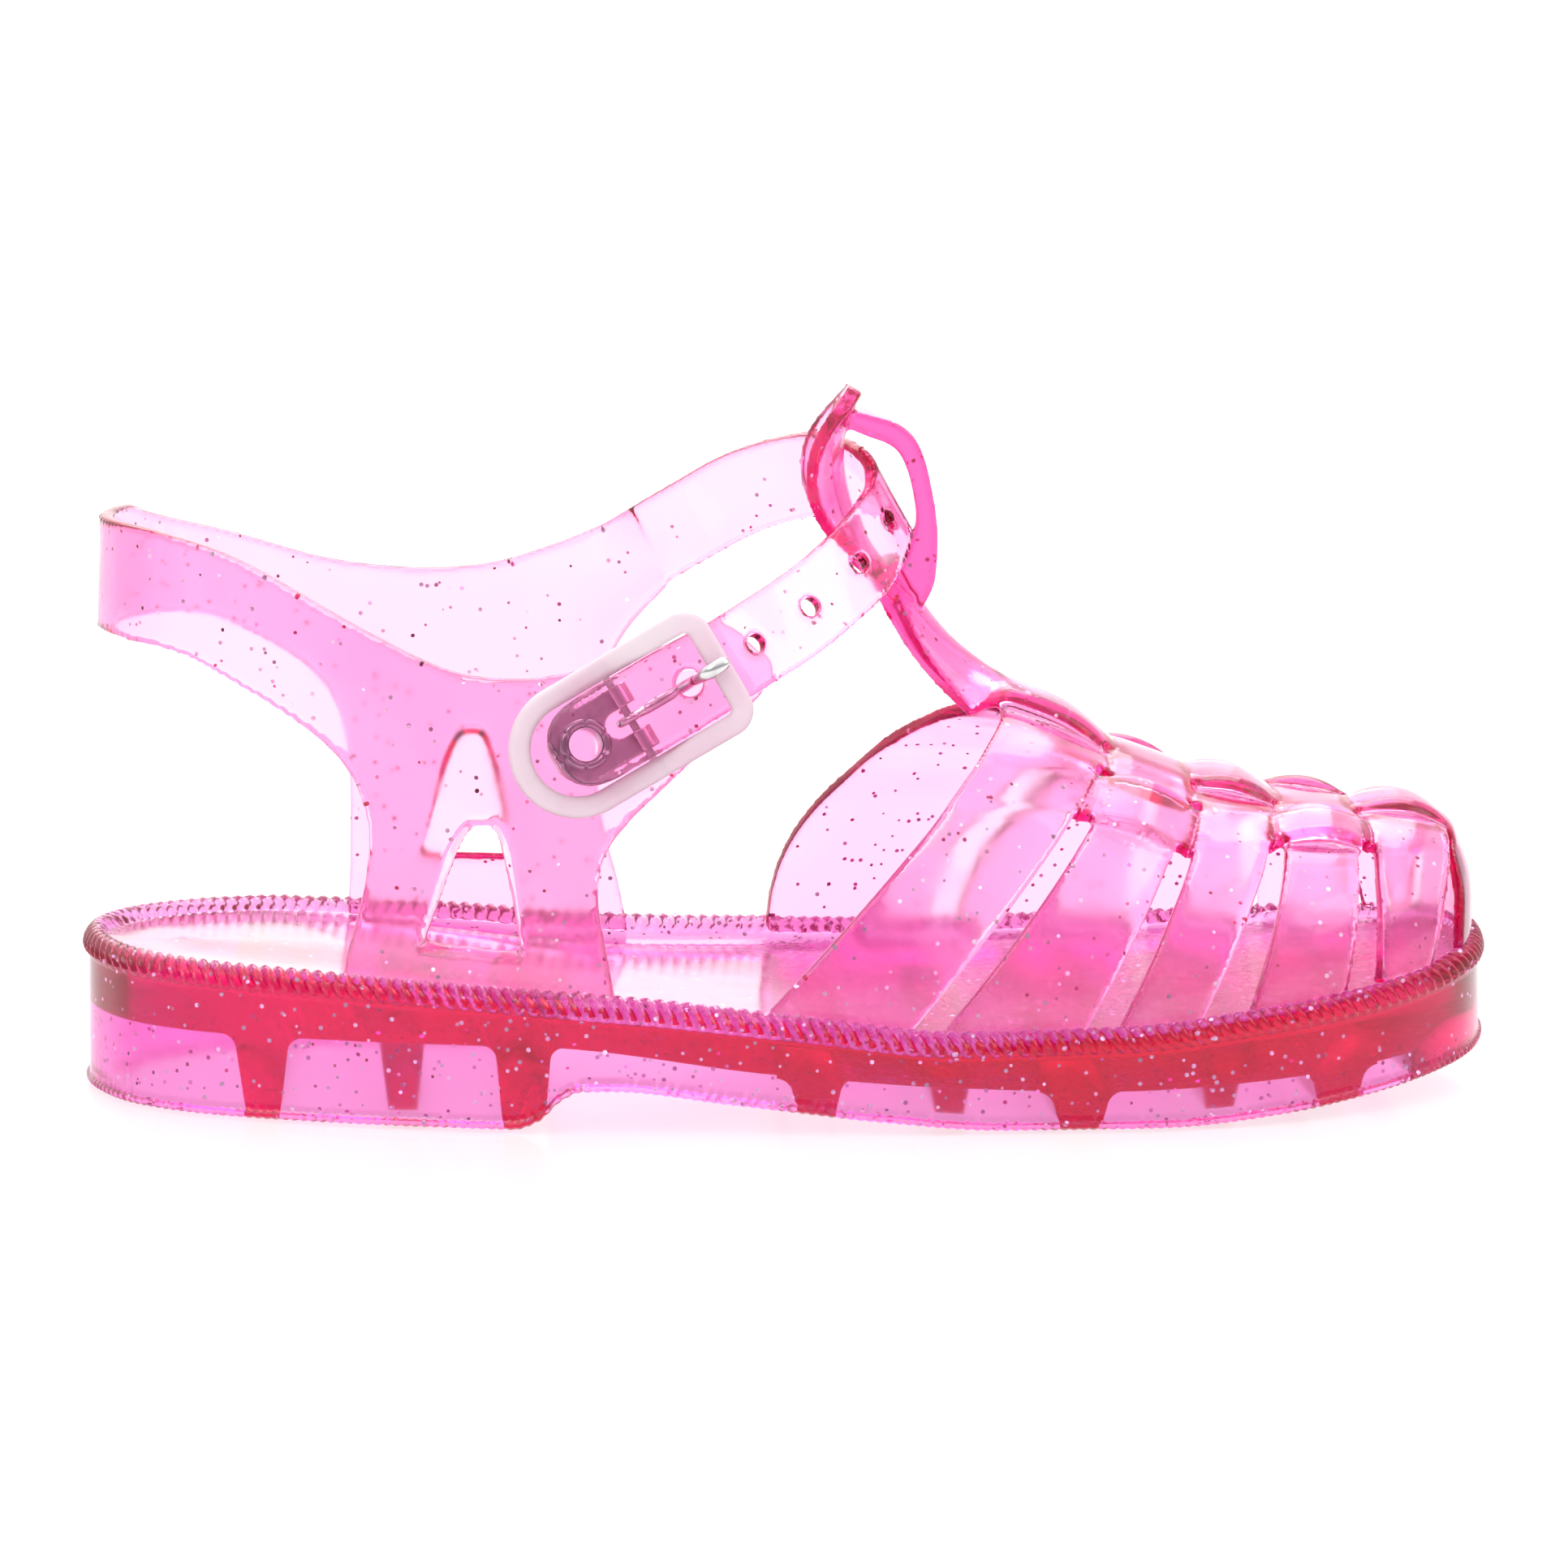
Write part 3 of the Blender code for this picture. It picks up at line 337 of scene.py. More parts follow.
sole_angles = even_angles(SOLE_STEPS * FINE_STEPS)
fine = len(sole_angles)
edge = [outline(a) for a in sole_angles]
turned = [0.0]
for k in range(fine):
    turned.append(turned[-1] + (edge[(k + 1) % fine] - edge[k]).length)
girth = turned[-1]
inwards = [inset_point(a, 1.0) - p for a, p in zip(sole_angles, edge)]
rims = [rim(a) for a in sole_angles]
spines = [spine(a) for a in sole_angles]
beds = [0.5 * (rim(a) + rim(-a)) - recess(p.x) for a, p in zip(sole_angles, spines)]

sole_points = []
sole_values = {"turn": [], "across": [], "welt": [], "bead": []}
sole_faces = []


def add_point(point, k=0, across=0.0, welt=0.0, bead=0.0):
    sole_points.append(point)
    for label, value in (("turn", turned[k] / girth), ("across", across), ("welt", welt), ("bead", bead)):
        sole_values[label].append(value)
    return len(sole_points) - 1


def add_ring(place, step, across=0.0, welt=0.0, bead=0.0):
    return [add_point(place(k), k, across, welt, bead) for k in range(0, fine, step)]


def add_spine(height):
    """A line down the middle, whose points serve both sides."""
    half = [add_point((*spines[k], height(k)), k) for k in range(0, fine // 2 + 1, FINE_STEPS)]
    return half + half[-2:0:-1]


def join_rings(first, second):
    if len(first) < len(second):
        first, second = second, first
    step = len(first) // len(second)
    for k in range(len(second)):
        run = [first[(k * step + i) % len(first)] for i in range(step + 1)]
        sole_faces.append((*run, second[(k + 1) % len(second)], second[k]))


def side_place(inset, datum, rise):
    def place(k):
        p = edge[k] + inwards[k] * inset
        level = bottom(p.x)
        if datum == "rim":
            level = rims[k]
        elif datum == "half":
            level = 0.5 * (level + rims[k])
        return (*p, level + rise)

    return place


def cup_depth(p):
    return max(CUP_LEAST, CUP_SHARE * recess(p.x))


def lip_place(inset, drop):
    def place(k):
        p = edge[k] + inwards[k] * inset
        return (*p, rims[k] - WELT_FOOT - (cup_depth(p) - WELT_FOOT) * drop)

    return place


def bed_place(t):
    def place(k):
        p = edge[k] + inwards[k] * CUP_INSET
        cup = rims[k] - cup_depth(p)
        level = min(2.0 * t, 1.0)
        return (*p.lerp(spines[k], t), cup + (beds[k] - cup) * level * level * (3 - 2 * level))

    return place


last = add_spine(lambda k: bottom(spines[k].x))
across = 0.0
for number, (inset, datum, rise, welt, bead) in enumerate(SIDE_ROWS):
    step = FINE_STEPS if welt is None else 1
    if datum == "rim":
        across += math.hypot(inset - SIDE_ROWS[number - 1][0], rise - SIDE_ROWS[number - 1][2])
    ring = add_ring(side_place(inset, datum, rise), step, across, welt or 0.0, bead or 0.0)
    join_rings(last, ring)
    last = ring
for place in [lip_place(*row) for row in LIP_ROWS] + [bed_place(t) for t in BED_LINES]:
    ring = add_ring(place, FINE_STEPS)
    join_rings(last, ring)
    last = ring
join_rings(last, add_spine(lambda k: beds[k]))
sole_blank = face_out(mesh_of("sole_blank", sole_points, sole_faces, sole_values))

knurl_sizes = {
    "Welt Teeth": float(round(girth / WELT_PITCH)), "Welt Slant": WELT_SLANT, "Welt Depth": WELT_DEPTH * MM,
    "Bead Teeth": float(round(girth / BEAD_PITCH)), "Bead Depth": BEAD_DEPTH * MM,
}
knurl, entry, leaving = geometry_tree("welt_knurl", knurl_sizes)


def named(tree, label):
    return Wire.node(tree, "GeometryNodeInputNamedAttribute", {"Name": label}, data_type="FLOAT")


turn = named(knurl, "turn")
rope = (turn * entry.other("Welt Teeth") + named(knurl, "across") * entry.other("Welt Slant")) * math.pi
rope = rope.math("SINE").math("ABSOLUTE") - WELT_GROOVE
scallop = (turn * entry.other("Bead Teeth") * math.pi).math("SINE").math("ABSOLUTE") - BEAD_GROOVE
push = rope * named(knurl, "welt") * entry.other("Welt Depth")
push = push + scallop * named(knurl, "bead") * entry.other("Bead Depth")
outward = Wire.node(knurl, "GeometryNodeInputNormal").scaled(push)
Wire.node(knurl, "GeometryNodeSetPosition", {"Geometry": entry, "Offset": outward}).into(leaving, "Geometry")
sole_blank = grown(sole_blank, knurl, knurl_sizes, "sole_blank")

cell_angles = even_angles(CELL_STEPS)


def cell_ring(inset, deep):
    ring = []
    for a in cell_angles:
        p = inset_point(a, inset)
        x = min(p.x, TOE_CELL_END)
        ring.append((x, p.y, CELL_FLOOR if deep else ceiling(x)))
    return ring


def cell_spine(deep):
    return [(*spine(a), CELL_FLOOR if deep else ceiling(spine(a).x)) for a in cell_angles]


cell_rings = [cell_spine(True), cell_ring(SKIRT_FOOT, True), cell_ring(SKIRT_TOP, False), cell_spine(False)]
cells = loft("cells", cell_rings, capped=False)
for number, (x, top_width, foot_width, gap) in enumerate(RIB_ROWS):
    high = ceiling(x)
    spread = 0.5 * (top_width - foot_width) / high
    half_view = [(0.5 * foot_width - RIB_FLOOR * spread, -RIB_FLOOR)]
    for k in range(RIB_FILLET_STEPS + 1):
        turn_up = 0.5 * math.pi * k / RIB_FILLET_STEPS
        z = high - RIB_FILLET * (1.0 - math.sin(turn_up))
        half_view.append((0.5 * foot_width + spread * z + RIB_FILLET * (1.0 - math.cos(turn_up)), z))
    half_view.append((half_view[-1][0], high + RIB_ROOF))
    low_y = -RIB_REACH
    high_y = RIB_REACH
    if gap is not None:
        low_y = outline(sole_angle(x)).y + SKIRT_FOOT + gap
        high_y = outline(-sole_angle(x)).y - SKIRT_FOOT - gap
    view = [(x - half, z) for half, z in half_view] + [(x + half, z) for half, z in reversed(half_view)]
    boolean(cells, prism(f"rib_{number}", view, low_y, high_y), "DIFFERENCE")
cells = plain(cells, "cells")
boolean(sole_blank, cells, "DIFFERENCE", "MANIFOLD")
sole = plain(sole_blank, "sole_moulding")


def clear_slivers(made):
    """Dissolves the faces without width that a cut leaves along straight edges."""
    work = bmesh.new()
    work.from_mesh(made.data)
    bmesh.ops.triangulate(work, faces=work.faces)
    bmesh.ops.dissolve_degenerate(work, dist=SLIVER * MM, edges=work.edges)
    bmesh.ops.triangulate(work, faces=work.faces)
    work.to_mesh(made.data)
    work.free()


def shade(made, degrees):
    made.data.shade_smooth()
    made.data.set_sharp_from_angle(angle=math.radians(degrees))


clear_slivers(sole)
shade(sole, 40)


def new_material(name):
    """New material, its shader and the place on the piece."""
    made = bpy.data.materials.new(name)
    made.use_nodes = True
    place = Wire.node(made.node_tree, "ShaderNodeTexCoord", output="Object")
    return made, made.node_tree.nodes["Principled BSDF"], place


def noise(place, scale, detail):
    return Wire.node(place.tree, "ShaderNodeTexNoise", {"Vector": place, "Scale": scale, "Detail": detail})


def blend(share, first, second):
    """Colour between two colours."""
    return Wire.node(share.tree, "ShaderNodeMix", {"Factor": share, "A": first, "B": second},
                     output="Result", data_type="RGBA")


def fix(shader, values):
    for label, value in values.items():
        shader.inputs[label].default_value = value


def roughen(shader, height, strength, distance):
    values = {"Strength": strength, "Distance": distance, "Height": height}
    Wire.node(height.tree, "ShaderNodeBump", values).into(shader, "Normal")


def dress(made, material):
    made.data.materials.clear()
    made.data.materials.append(material)


def jelly(name, tint, flow_tint, absorbed, density, gloss, painted_edge_shade=None, grained=None):
    """Clear soft PVC: colour grows with depth, faint flow clouds, moulded ripple and a glossy skin. Where
    given, a painted shade deepens the colour along edges and thick runs.
    """
    made, shader, place = new_material(name)
    tree = made.node_tree
    colour = blend(noise(place, 42.0, 1.0).ramp(0.42, 0.72), tint, flow_tint)
    roughness = noise(place, 260.0, 0.0).ramp(0.35, 0.75) * 0.06 + gloss
    height = noise(place, 130.0, 0.0) * 0.35
    # Painted shade: the colour turns a deeper pink where light runs far through the PVC, along edges and
    # thick parts.
    if painted_edge_shade:
        run = Wire.node(tree, "ShaderNodeAttribute", output="Fac", attribute_name="run")
        colour = blend(run.ramp(3.0, 8.0), colour, painted_edge_shade)
    if grained:
        face = Wire.node(tree, "ShaderNodeNewGeometry", output="Normal")
        up = Wire.node(tree, "ShaderNodeSeparateXYZ", {"Vector": face}, output="Z").ramp(0.35, 0.7)
        x = Wire.node(tree, "ShaderNodeSeparateXYZ", {"Vector": place}, output="X")
        mask = up * (x + noise(place, 60.0, 0.0) * 0.012).ramp(0.002, 0.009)
        colour = blend(mask, colour, grained)
        roughness = roughness + mask * 0.12
        height = height + noise(place, 1150.0, 1.0) * mask * 1.6
        ((up - mask) * 0.9 + 0.1).into(shader, "Coat Weight")
    colour.into(shader, "Base Color")
    roughness.into(shader, "Roughness")
    roughen(shader, height, 0.5, 0.00035)
    fix(shader, {"Transmission Weight": 1.0, "IOR": 1.48, "Coat Roughness": 0.15})
    depth = tree.nodes.new("ShaderNodeVolumeAbsorption")
    fix(depth, {"Color": absorbed, "Density": density})
    tree.links.new(depth.outputs["Volume"], tree.nodes["Material Output"].inputs["Volume"])
    return made


sole_pvc = jelly(
    "sole_crimson_pvc", tint=(0.94, 0.56, 0.83, 1), flow_tint=(0.92, 0.48, 0.77, 1),
    absorbed=(0.945, 0.0, 0.70, 1), density=165.0, gloss=0.13, grained=(1.0, 0.70, 0.96, 1),
)
dress(sole, sole_pvc)
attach(sole, "root")
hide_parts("sole")

# Glitter: hexagonal flakes of silvered film mixed into the PVC before it is shot, so they lie inside the
# wall, mostly flat to its skin, and show dark against light and bright against the deep crimson.
FLAKE_WIDTH = 0.52
FLAKE_THICKNESS = 0.03
FLAKE_TILT = 0.35

flake_sizes = ("Density", "Flake Width", "Shallow", "Deep", "Tilt", "Seed")
glitter_tree, entry, leaving = geometry_tree("glitter", flake_sizes)


def random_value(seed, low, high, kind="FLOAT"):
    return Wire.node(glitter_tree, "FunctionNodeRandomValue", {"Min": low, "Max": high, "Seed": seed},
                     data_type=kind)


scatter = Wire.node(glitter_tree, "GeometryNodeDistributePointsOnFaces",
                    {"Mesh": entry, "Density": entry.other("Density"), "Seed": entry.other("Seed")},
                    output="Points")
sink = random_value(3, entry.other("Shallow"), entry.other("Deep"))
sunk = scatter.other("Normal").scaled(sink * -1.0)
inside = Wire.node(glitter_tree, "GeometryNodeSetPosition", {"Geometry": scatter, "Offset": sunk})
lean = random_value(5, (-1.0, -1.0, -3.0), (1.0, 1.0, 3.0), "FLOAT_VECTOR").scaled(entry.other("Tilt"))
facing = Wire.node(glitter_tree, "FunctionNodeRotateRotation",
                   {"Rotation": scatter.other("Rotation"), "Rotate By": lean}, rotation_space="LOCAL")
flake = Wire.node(glitter_tree, "GeometryNodeMeshCylinder",
                  {"Vertices": 6, "Radius": entry.other("Flake Width") * 0.5, "Depth": FLAKE_THICKNESS * MM},
                  output="Mesh", fill_type="NGON")
vary = random_value(7, 0.7, 1.2)
flakes = Wire.node(glitter_tree, "GeometryNodeInstanceOnPoints",
                   {"Points": inside, "Instance": flake, "Rotation": facing, "Scale": vary})
real = Wire.node(glitter_tree, "GeometryNodeRealizeInstances", {"Geometry": flakes})

flake_film, flake_shader, spot = new_material("silver_flake")
fix(flake_shader, {"Metallic": 1.0})
mottle = noise(spot, 900.0, 2.0)
silver = blend(mottle.ramp(0.35, 0.65), (0.94, 0.90, 0.94, 1), (0.70, 0.62, 0.72, 1))
silver.into(flake_shader, "Base Color")
(mottle * 0.15 + 0.12).into(flake_shader, "Roughness")
filmed = Wire.node(glitter_tree, "GeometryNodeSetMaterial", {"Geometry": real, "Material": flake_film})
filmed.into(leaving, "Geometry")


def glitter(host, name, density, shallow, deep, seed):
    """Flakes inside the host piece, at so many for each square millimetre of its skin."""
    made = grown(linked(name, host.data.copy()), glitter_tree, {
        "Density": density / MM**2, "Flake Width": FLAKE_WIDTH * MM, "Shallow": shallow * MM,
        "Deep": deep * MM, "Tilt": FLAKE_TILT, "Seed": seed,
    }, name)
    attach(made, "root")


glitter(sole, "sole_glitter", density=0.14, shallow=0.12, deep=0.5, seed=11)

# Toe cage: flat strips of pink PVC moulded as if woven, one wall with the crossings raised and the gaps
# left open, a T-bar up the instep and a loop with a leaf at its top that the ankle strap runs through.
WALL = 1.9
STRIP_EDGE = 1.7
RAISE = 2.2
CROWN = 0.3
CAGE_INSET = 4.9
TOE_INSET = 3.1
CAGE_DROP = 1.5
ARCH_POWER = 0.85
STEP_WIDTH = 0.3
RISE_LENGTH = 7.0
# Inner face along the ridge: x, y, z
RIDGE_ROWS = (
    (26.5, 0.8, 44.6), (33.0, 0.9, 42.0), (39.0, 1.0, 38.9), (45.7, 1.2, 36.2), (52.4, 1.5, 33.8),
    (60.0, 1.9, 31.7), (70.0, 2.4, 30.3), (77.0, 2.8, 29.6), (80.5, 3.1, 28.4),
)
# Rear edge of each strip at the lateral rim, ridge and medial rim, then its front edge
STRIP_ROWS = (
    (-3.8, 26.5, -1.8, 13.4, 38.0, 19.0), (17.1, 40.2, 22.5, 34.3, 48.6, 45.2),
    (38.3, 50.4, 48.4, 48.9, 59.0, 61.2), (55.2, 60.6, 63.6, 67.4, 69.2, 75.0),
    (71.9, 71.0, 76.6, 78.8, 80.5, 81.8),
)
# Share of the arch where the side band crosses, half widths of the side and the middle band and the medial
# sweep, at the rear edge of each strip, then at its front edge
BAND_ROWS = (
    (0.38, 3.6, 4.8, 2.3, 0.32, 3.6, 4.8, 1.7), (0.33, 3.7, 5.2, 1.5, 0.39, 3.7, 5.2, 1.2),
    (0.40, 3.6, 6.0, 1.1, 0.33, 3.6, 5.8, 1.0), (0.33, 3.3, 5.4, 1.0, 0.33, 3.2, 4.8, 1.0),
    (0.33, 2.8, 4.4, 1.0, 0.32, 2.7, 4.2, 1.0),
)
MIDDLE_OVER = (0, 2, 4)
# Inner face of the T-bar and of the toe piece: x, y, z, half width, how far the edges fall back in x and z,
# then how far it stands off and its thickness
TBAR_ROWS = (
    (10.9, 1.0, 62.0, 3.4, 0.8, 0.6, 0.0, 3.6), (13.4, 1.0, 58.2, 3.5, 1.1, 0.8, 0.0, 3.4),
    (15.6, 1.0, 54.6, 3.6, 1.4, 1.1, 0.4, 3.1), (18.3, 0.9, 50.9, 3.9, 1.7, 1.3, 1.0, 2.9),
    (21.8, 0.8, 47.4, 4.4, 2.1, 1.7, 1.8, 2.6), (24.2, 0.8, 45.8, 4.7, 1.9, 2.6, 2.2, 2.2),
)
TOE_ROWS = (
    (82.2, 3.3, 26.6, 8.8, 1.6, 0.0, 0.4, 1.6), (83.2, 3.4, 23.2, 12.4, 2.2, 0.0, 0.4, 1.6),
    (83.3, 3.5, 17.9, 14.0, 2.5, 0.0, 0.4, 1.6), (83.3, 3.5, 16.6, 14.2, 2.5, 0.0, 0.4, 1.6),
)
# Loop in side view: x, z, thickness
LOOP_ROWS = (
    (15.3, 58.0, 3.4), (16.3, 61.2, 4.5), (17.2, 65.0, 3.4), (17.5, 68.5, 2.5), (17.0, 72.0, 2.3),
    (16.2, 75.2, 2.4), (15.0, 77.6, 2.6), (13.2, 79.0, 2.7), (10.9, 79.8, 2.6), (8.0, 80.8, 2.2),
)
LOOP_HALF = 3.4
LOOP_Y = 1.0
# z, x, half width and how far the edges bend back
LEAF_ROWS = (
    (58.2, 15.4, 3.2, 0.0), (64.0, 10.3, 5.0, 1.4), (68.0, 8.4, 6.5, 3.2), (72.0, 7.2, 7.3, 3.8),
    (75.7, 6.7, 7.2, 3.4), (79.0, 6.9, 6.0, 2.4), (82.0, 7.8, 4.2, 0.9), (84.3, 9.0, 2.0, 0.2),
)
LEAF_THICKNESS = 1.9
LEAF_Y = -0.4
# Shares across a strip, a gap between strips, half the middle band, the web beside it and a side band
STRIP_LINES = (0.0, 0.06, 0.16, 0.3, 0.5, 0.7, 0.84, 0.94, 1.0)
GAP_LINES = (0.06, 0.2, 0.35, 0.5, 0.65, 0.8, 0.94)
MIDDLE_LINES = (0.0, 0.25, 0.5, 0.72, 0.88, 0.96, 1.0)
WEB_LINES = (0.0, 0.12, 0.28, 0.5, 0.72)
OPEN_LINES = (0.88, 1.0)
SIDE_LINES = (-1.0, -0.93, -0.8, -0.5, 0.0, 0.5, 0.8, 0.93, 1.0)
LEAF_LINES = [k / 4 for k in range(-4, 5)]
ARCH_STEPS = 60
RIM_LINES = 16
TOE_FROM = 45.0
TOE_LENGTH = 30.0
TOE_DROP = 0.4
BAND_LIFT = 0.45
STRIP_LIFT = 0.3
RUN_START = 0.02
CAGE_VOXEL = 0.34
CAGE_SHARE = 0.5
EDGE_GAIN = 18.0


def path_through(rows, steps):
    """Catmull-Rom points through the rows, with the given steps between two rows."""
    points = [Vector(row) for row in rows]
    found = []
    for i in range(len(points) - 1):
        a, b, c, d = (points[min(max(i + k, 0), len(points) - 1)] for k in (-1, 0, 1, 2))
        for k in range(steps):
            t = k / steps
            bend = 2 * a - 5 * b + 4 * c - d
            twist = 3 * b - a - 3 * c + d
            found.append(0.5 * (2 * b + (c - a) * t + bend * t**2 + twist * t**3))
    found.append(points[-1])
    return found


ridge_x, ridge_y, ridge_z = columns(RIDGE_ROWS)
ridge_across = curve(ridge_x, ridge_y)
ridge_height = curve(ridge_x, ridge_z)


def base_point(x, medial):
    angle = -sole_angle(x) if medial else sole_angle(x)
    toe = min(max(0.0, (x - TOE_FROM) / TOE_LENGTH), 1.0)
    p = inset_point(angle, CAGE_INSET + (TOE_INSET - CAGE_INSET) * toe)
    return Vector((*p, rim(angle) - CAGE_DROP + (CAGE_DROP - TOE_DROP) * toe))


def ease(t):
    t = min(max(t, 0.0), 1.0)
    return t * t * (3 - 2 * t)


def mix(first, second, t):
    return [a + (b - a) * t for a, b in zip(first, second)]


# Stations along the cage: strip and band values, the strip, or none between two, and the place in it
stations = []
for s, (row, band) in enumerate(zip(STRIP_ROWS, BAND_ROWS)):
    rear = (*row[:3], *band[:4])
    front = (*row[3:], *band[4:])
    for t in STRIP_LINES:
        stations.append((mix(rear, front, t), s, t))
    if s + 1 < len(STRIP_ROWS):
        after = (*STRIP_ROWS[s + 1][:3], *BAND_ROWS[s + 1][:4])
        for t in GAP_LINES:
            stations.append((mix(front, after, t), None, s + t))


def arch(values, medial):
    """Half a station's arch from the ridge to the rim, as points and their lengths from the ridge."""
    top = Vector((values[1], ridge_across(values[1]), ridge_height(values[1])))
    base = base_point(values[2 if medial else 0], medial)
    sweep = values[6] if medial else 1.0
    points = []
    for k in range(ARCH_STEPS + 1):
        turn = 0.5 * math.pi * k / ARCH_STEPS
        down = max(math.cos(turn), 0.0) ** ARCH_POWER
        out = math.sin(turn) ** ARCH_POWER
        points.append(Vector((base.x + (top.x - base.x) * down**sweep, top.y + (base.y - top.y) * out,
                              base.z + (top.z - base.z) * down)))
    lengths = [0.0]
    for a, b in zip(points, points[1:]):
        lengths.append(lengths[-1] + (b - a).length)
    return points, lengths


def half_lines(total, side_at, side_half, middle_half):
    """Lines over half an arch: length from the ridge and the band that each lies in."""
    middle = side_at * total
    inner = middle - side_half - STEP_WIDTH
    outer = middle + side_half + STEP_WIDTH
    found = [(middle_half * t, "middle") for t in MIDDLE_LINES]
    start = middle_half + STEP_WIDTH
    found += [(start + (inner - start) * t, "web") for t in WEB_LINES]
    found += [(start + (inner - start) * t, None) for t in OPEN_LINES]
    found += [(middle + side_half * t, "side") for t in SIDE_LINES]
    found += [(outer + (total - outer) * k / RIM_LINES, None) for k in range(RIM_LINES + 1)]
    return found


def over(band, strip):
    return (band == "middle") == (strip in MIDDLE_OVER)


def lift_and_crown(station, total, length, band):
    """How far a strip or a band rises where it passes over the other, and its crown."""
    (*_, side_at, side_half, middle_half, _), strip, t = station
    lift = 0.0
    crown = 0.0
    if band in ("middle", "side"):
        middle, half = (0.0, middle_half) if band == "middle" else (side_at * total, side_half)
        crown = CROWN * (1.0 - ((length - middle) / half) ** 4)
        if strip is None:
            before = int(t)
            share = t - before
            behind = ease(1.0 - share) * over(band, before)
            lift = BAND_LIFT * max(behind, ease(share) * over(band, before + 1))
        elif over(band, strip):
            lift = BAND_LIFT + (1.0 - BAND_LIFT) * math.sin(math.pi * (t if strip else max(t, 0.5)))
    if strip is not None:
        crown = max(crown, CROWN * (1.0 - (2.0 * t - 1.0) ** 6))
        for name, middle, half in (("middle", 0.0, middle_half), ("side", side_at * total, side_half)):
            if not over(name, strip):
                away = abs(length - middle) - half - STEP_WIDTH
                lift = max(lift, STRIP_LIFT * ease(1.0 - away / RISE_LENGTH))
    return RAISE * lift, crown


cage_points = []
cage_lifts = []
cage_depths = []
cage_faces = []
cage_grid = []
for station in stations:
    row = []
    for medial in (False, True):
        arc, lengths = arch(station[0], medial)
        lines = half_lines(lengths[-1], *station[0][3:6])
        found = []
        for length, band in lines:
            i = min(max(bisect.bisect_right(lengths, length) - 1, 0), len(lengths) - 2)
            t = (length - lengths[i]) / (lengths[i + 1] - lengths[i])
            cage_points.append(arc[i].lerp(arc[i + 1], t))
            lift, crown = lift_and_crown(station, lengths[-1], length, band)
            cage_lifts.append(lift)
            cage_depths.append(STRIP_EDGE + crown)
            found.append((len(cage_points) - 1, band and f"{band}_{medial and band != 'middle'}"))
        row += found[1:] if medial else found[::-1]
    cage_grid.append(row)
for s in range(len(stations) - 1):
    in_strip = stations[s][1] is not None and stations[s][1] == stations[s + 1][1]
    for (a, band), (b, next_band), (c, _), (d, _) in zip(
        cage_grid[s], cage_grid[s][1:], cage_grid[s + 1][1:], cage_grid[s + 1]
    ):
        if in_strip or (band and band == next_band):
            cage_faces.append((a, b, c, d))


def extend(rows, grid_row, first):
    """Carries the middle band on beyond the first or last station through rows of its own."""
    last = [index for index, band in grid_row if band == "middle_False"]
    for x, y, z, half, fall_x, fall_z, lift, depth in rows:
        new = []
        for t in (*[-line for line in MIDDLE_LINES[:0:-1]], *MIDDLE_LINES):
            new.append(len(cage_points))
            cage_points.append(Vector((x - fall_x * t * t, y + half * t, z - fall_z * t * t)))
            cage_lifts.append(lift)
            cage_depths.append(depth - CROWN * t**4)
        for k in range(len(new) - 1):
            face = (new[k], new[k + 1], last[k + 1], last[k])
            cage_faces.append(face if first else face[::-1])
        last = new


extend(path_through(TBAR_ROWS, 4)[::-1], cage_grid[0], True)
extend(path_through(TOE_ROWS, 5), cage_grid[-1], False)


def weigh(made, name, values, most):
    group = made.vertex_groups.new(name=name)
    for index, value in enumerate(values):
        group.add([index], value / most, "REPLACE")
    return name


def solidify(made, depth, offset, depths=None):
    """Gives a sheet its thickness, from each point's own depth where depths are given."""
    change = made.modifiers.new("wall", "SOLIDIFY")
    change.thickness = depth * MM
    change.offset = offset
    if depths:
        change.vertex_group = weigh(made, "depth", depths, depth)
    return made


def moulded(name, pieces, voxel, smoothing):
    """Fuses closed pieces into one skin with soft edges, as they come out of one mould."""
    work = bmesh.new()
    for piece in pieces:
        work.from_mesh(piece.data)
        bpy.data.objects.remove(piece, do_unlink=True)
    mesh = bpy.data.meshes.new(name)
    work.to_mesh(mesh)
    work.free()
    made = linked(name, mesh)
    fuse = made.modifiers.new("fuse", "REMESH")
    fuse.mode = "VOXEL"
    fuse.voxel_size = voxel * MM
    soften = made.modifiers.new("soften", "SMOOTH")
    soften.factor = 0.5
    soften.iterations = smoothing
    made = plain(made, name)
    made.data.shade_smooth()
    return made


def mark_runs(made):
    """Stores how many millimetres of PVC light runs through behind each point, most at the edges, for the
    painted edge shade in the materials.
    """
    work = bmesh.new()
    work.from_mesh(made.data)
    skin = BVHTree.FromBMesh(work)
    runs = []
    for point in work.verts:
        through = skin.ray_cast(point.co - point.normal * RUN_START * MM, -point.normal)[3]
        ways = [(side.other_vert(point).co - point.co).normalized() for side in point.link_edges]
        bend = sum(way.dot(point.normal) for way in ways)
        runs.append((through or 0.0) / MM + EDGE_GAIN * abs(bend) / max(len(ways), 1))
    work.free()
    made.data.attributes.new("run", "FLOAT", "POINT").data.foreach_set("value", runs)


def thinned(made, share):
    """The same skin with the given share of its faces: few on flat runs, many along edges."""
    made.modifiers.new("thin", "DECIMATE").ratio = share
    made = plain(made, made.name)
    made.data.shade_smooth()
    return made


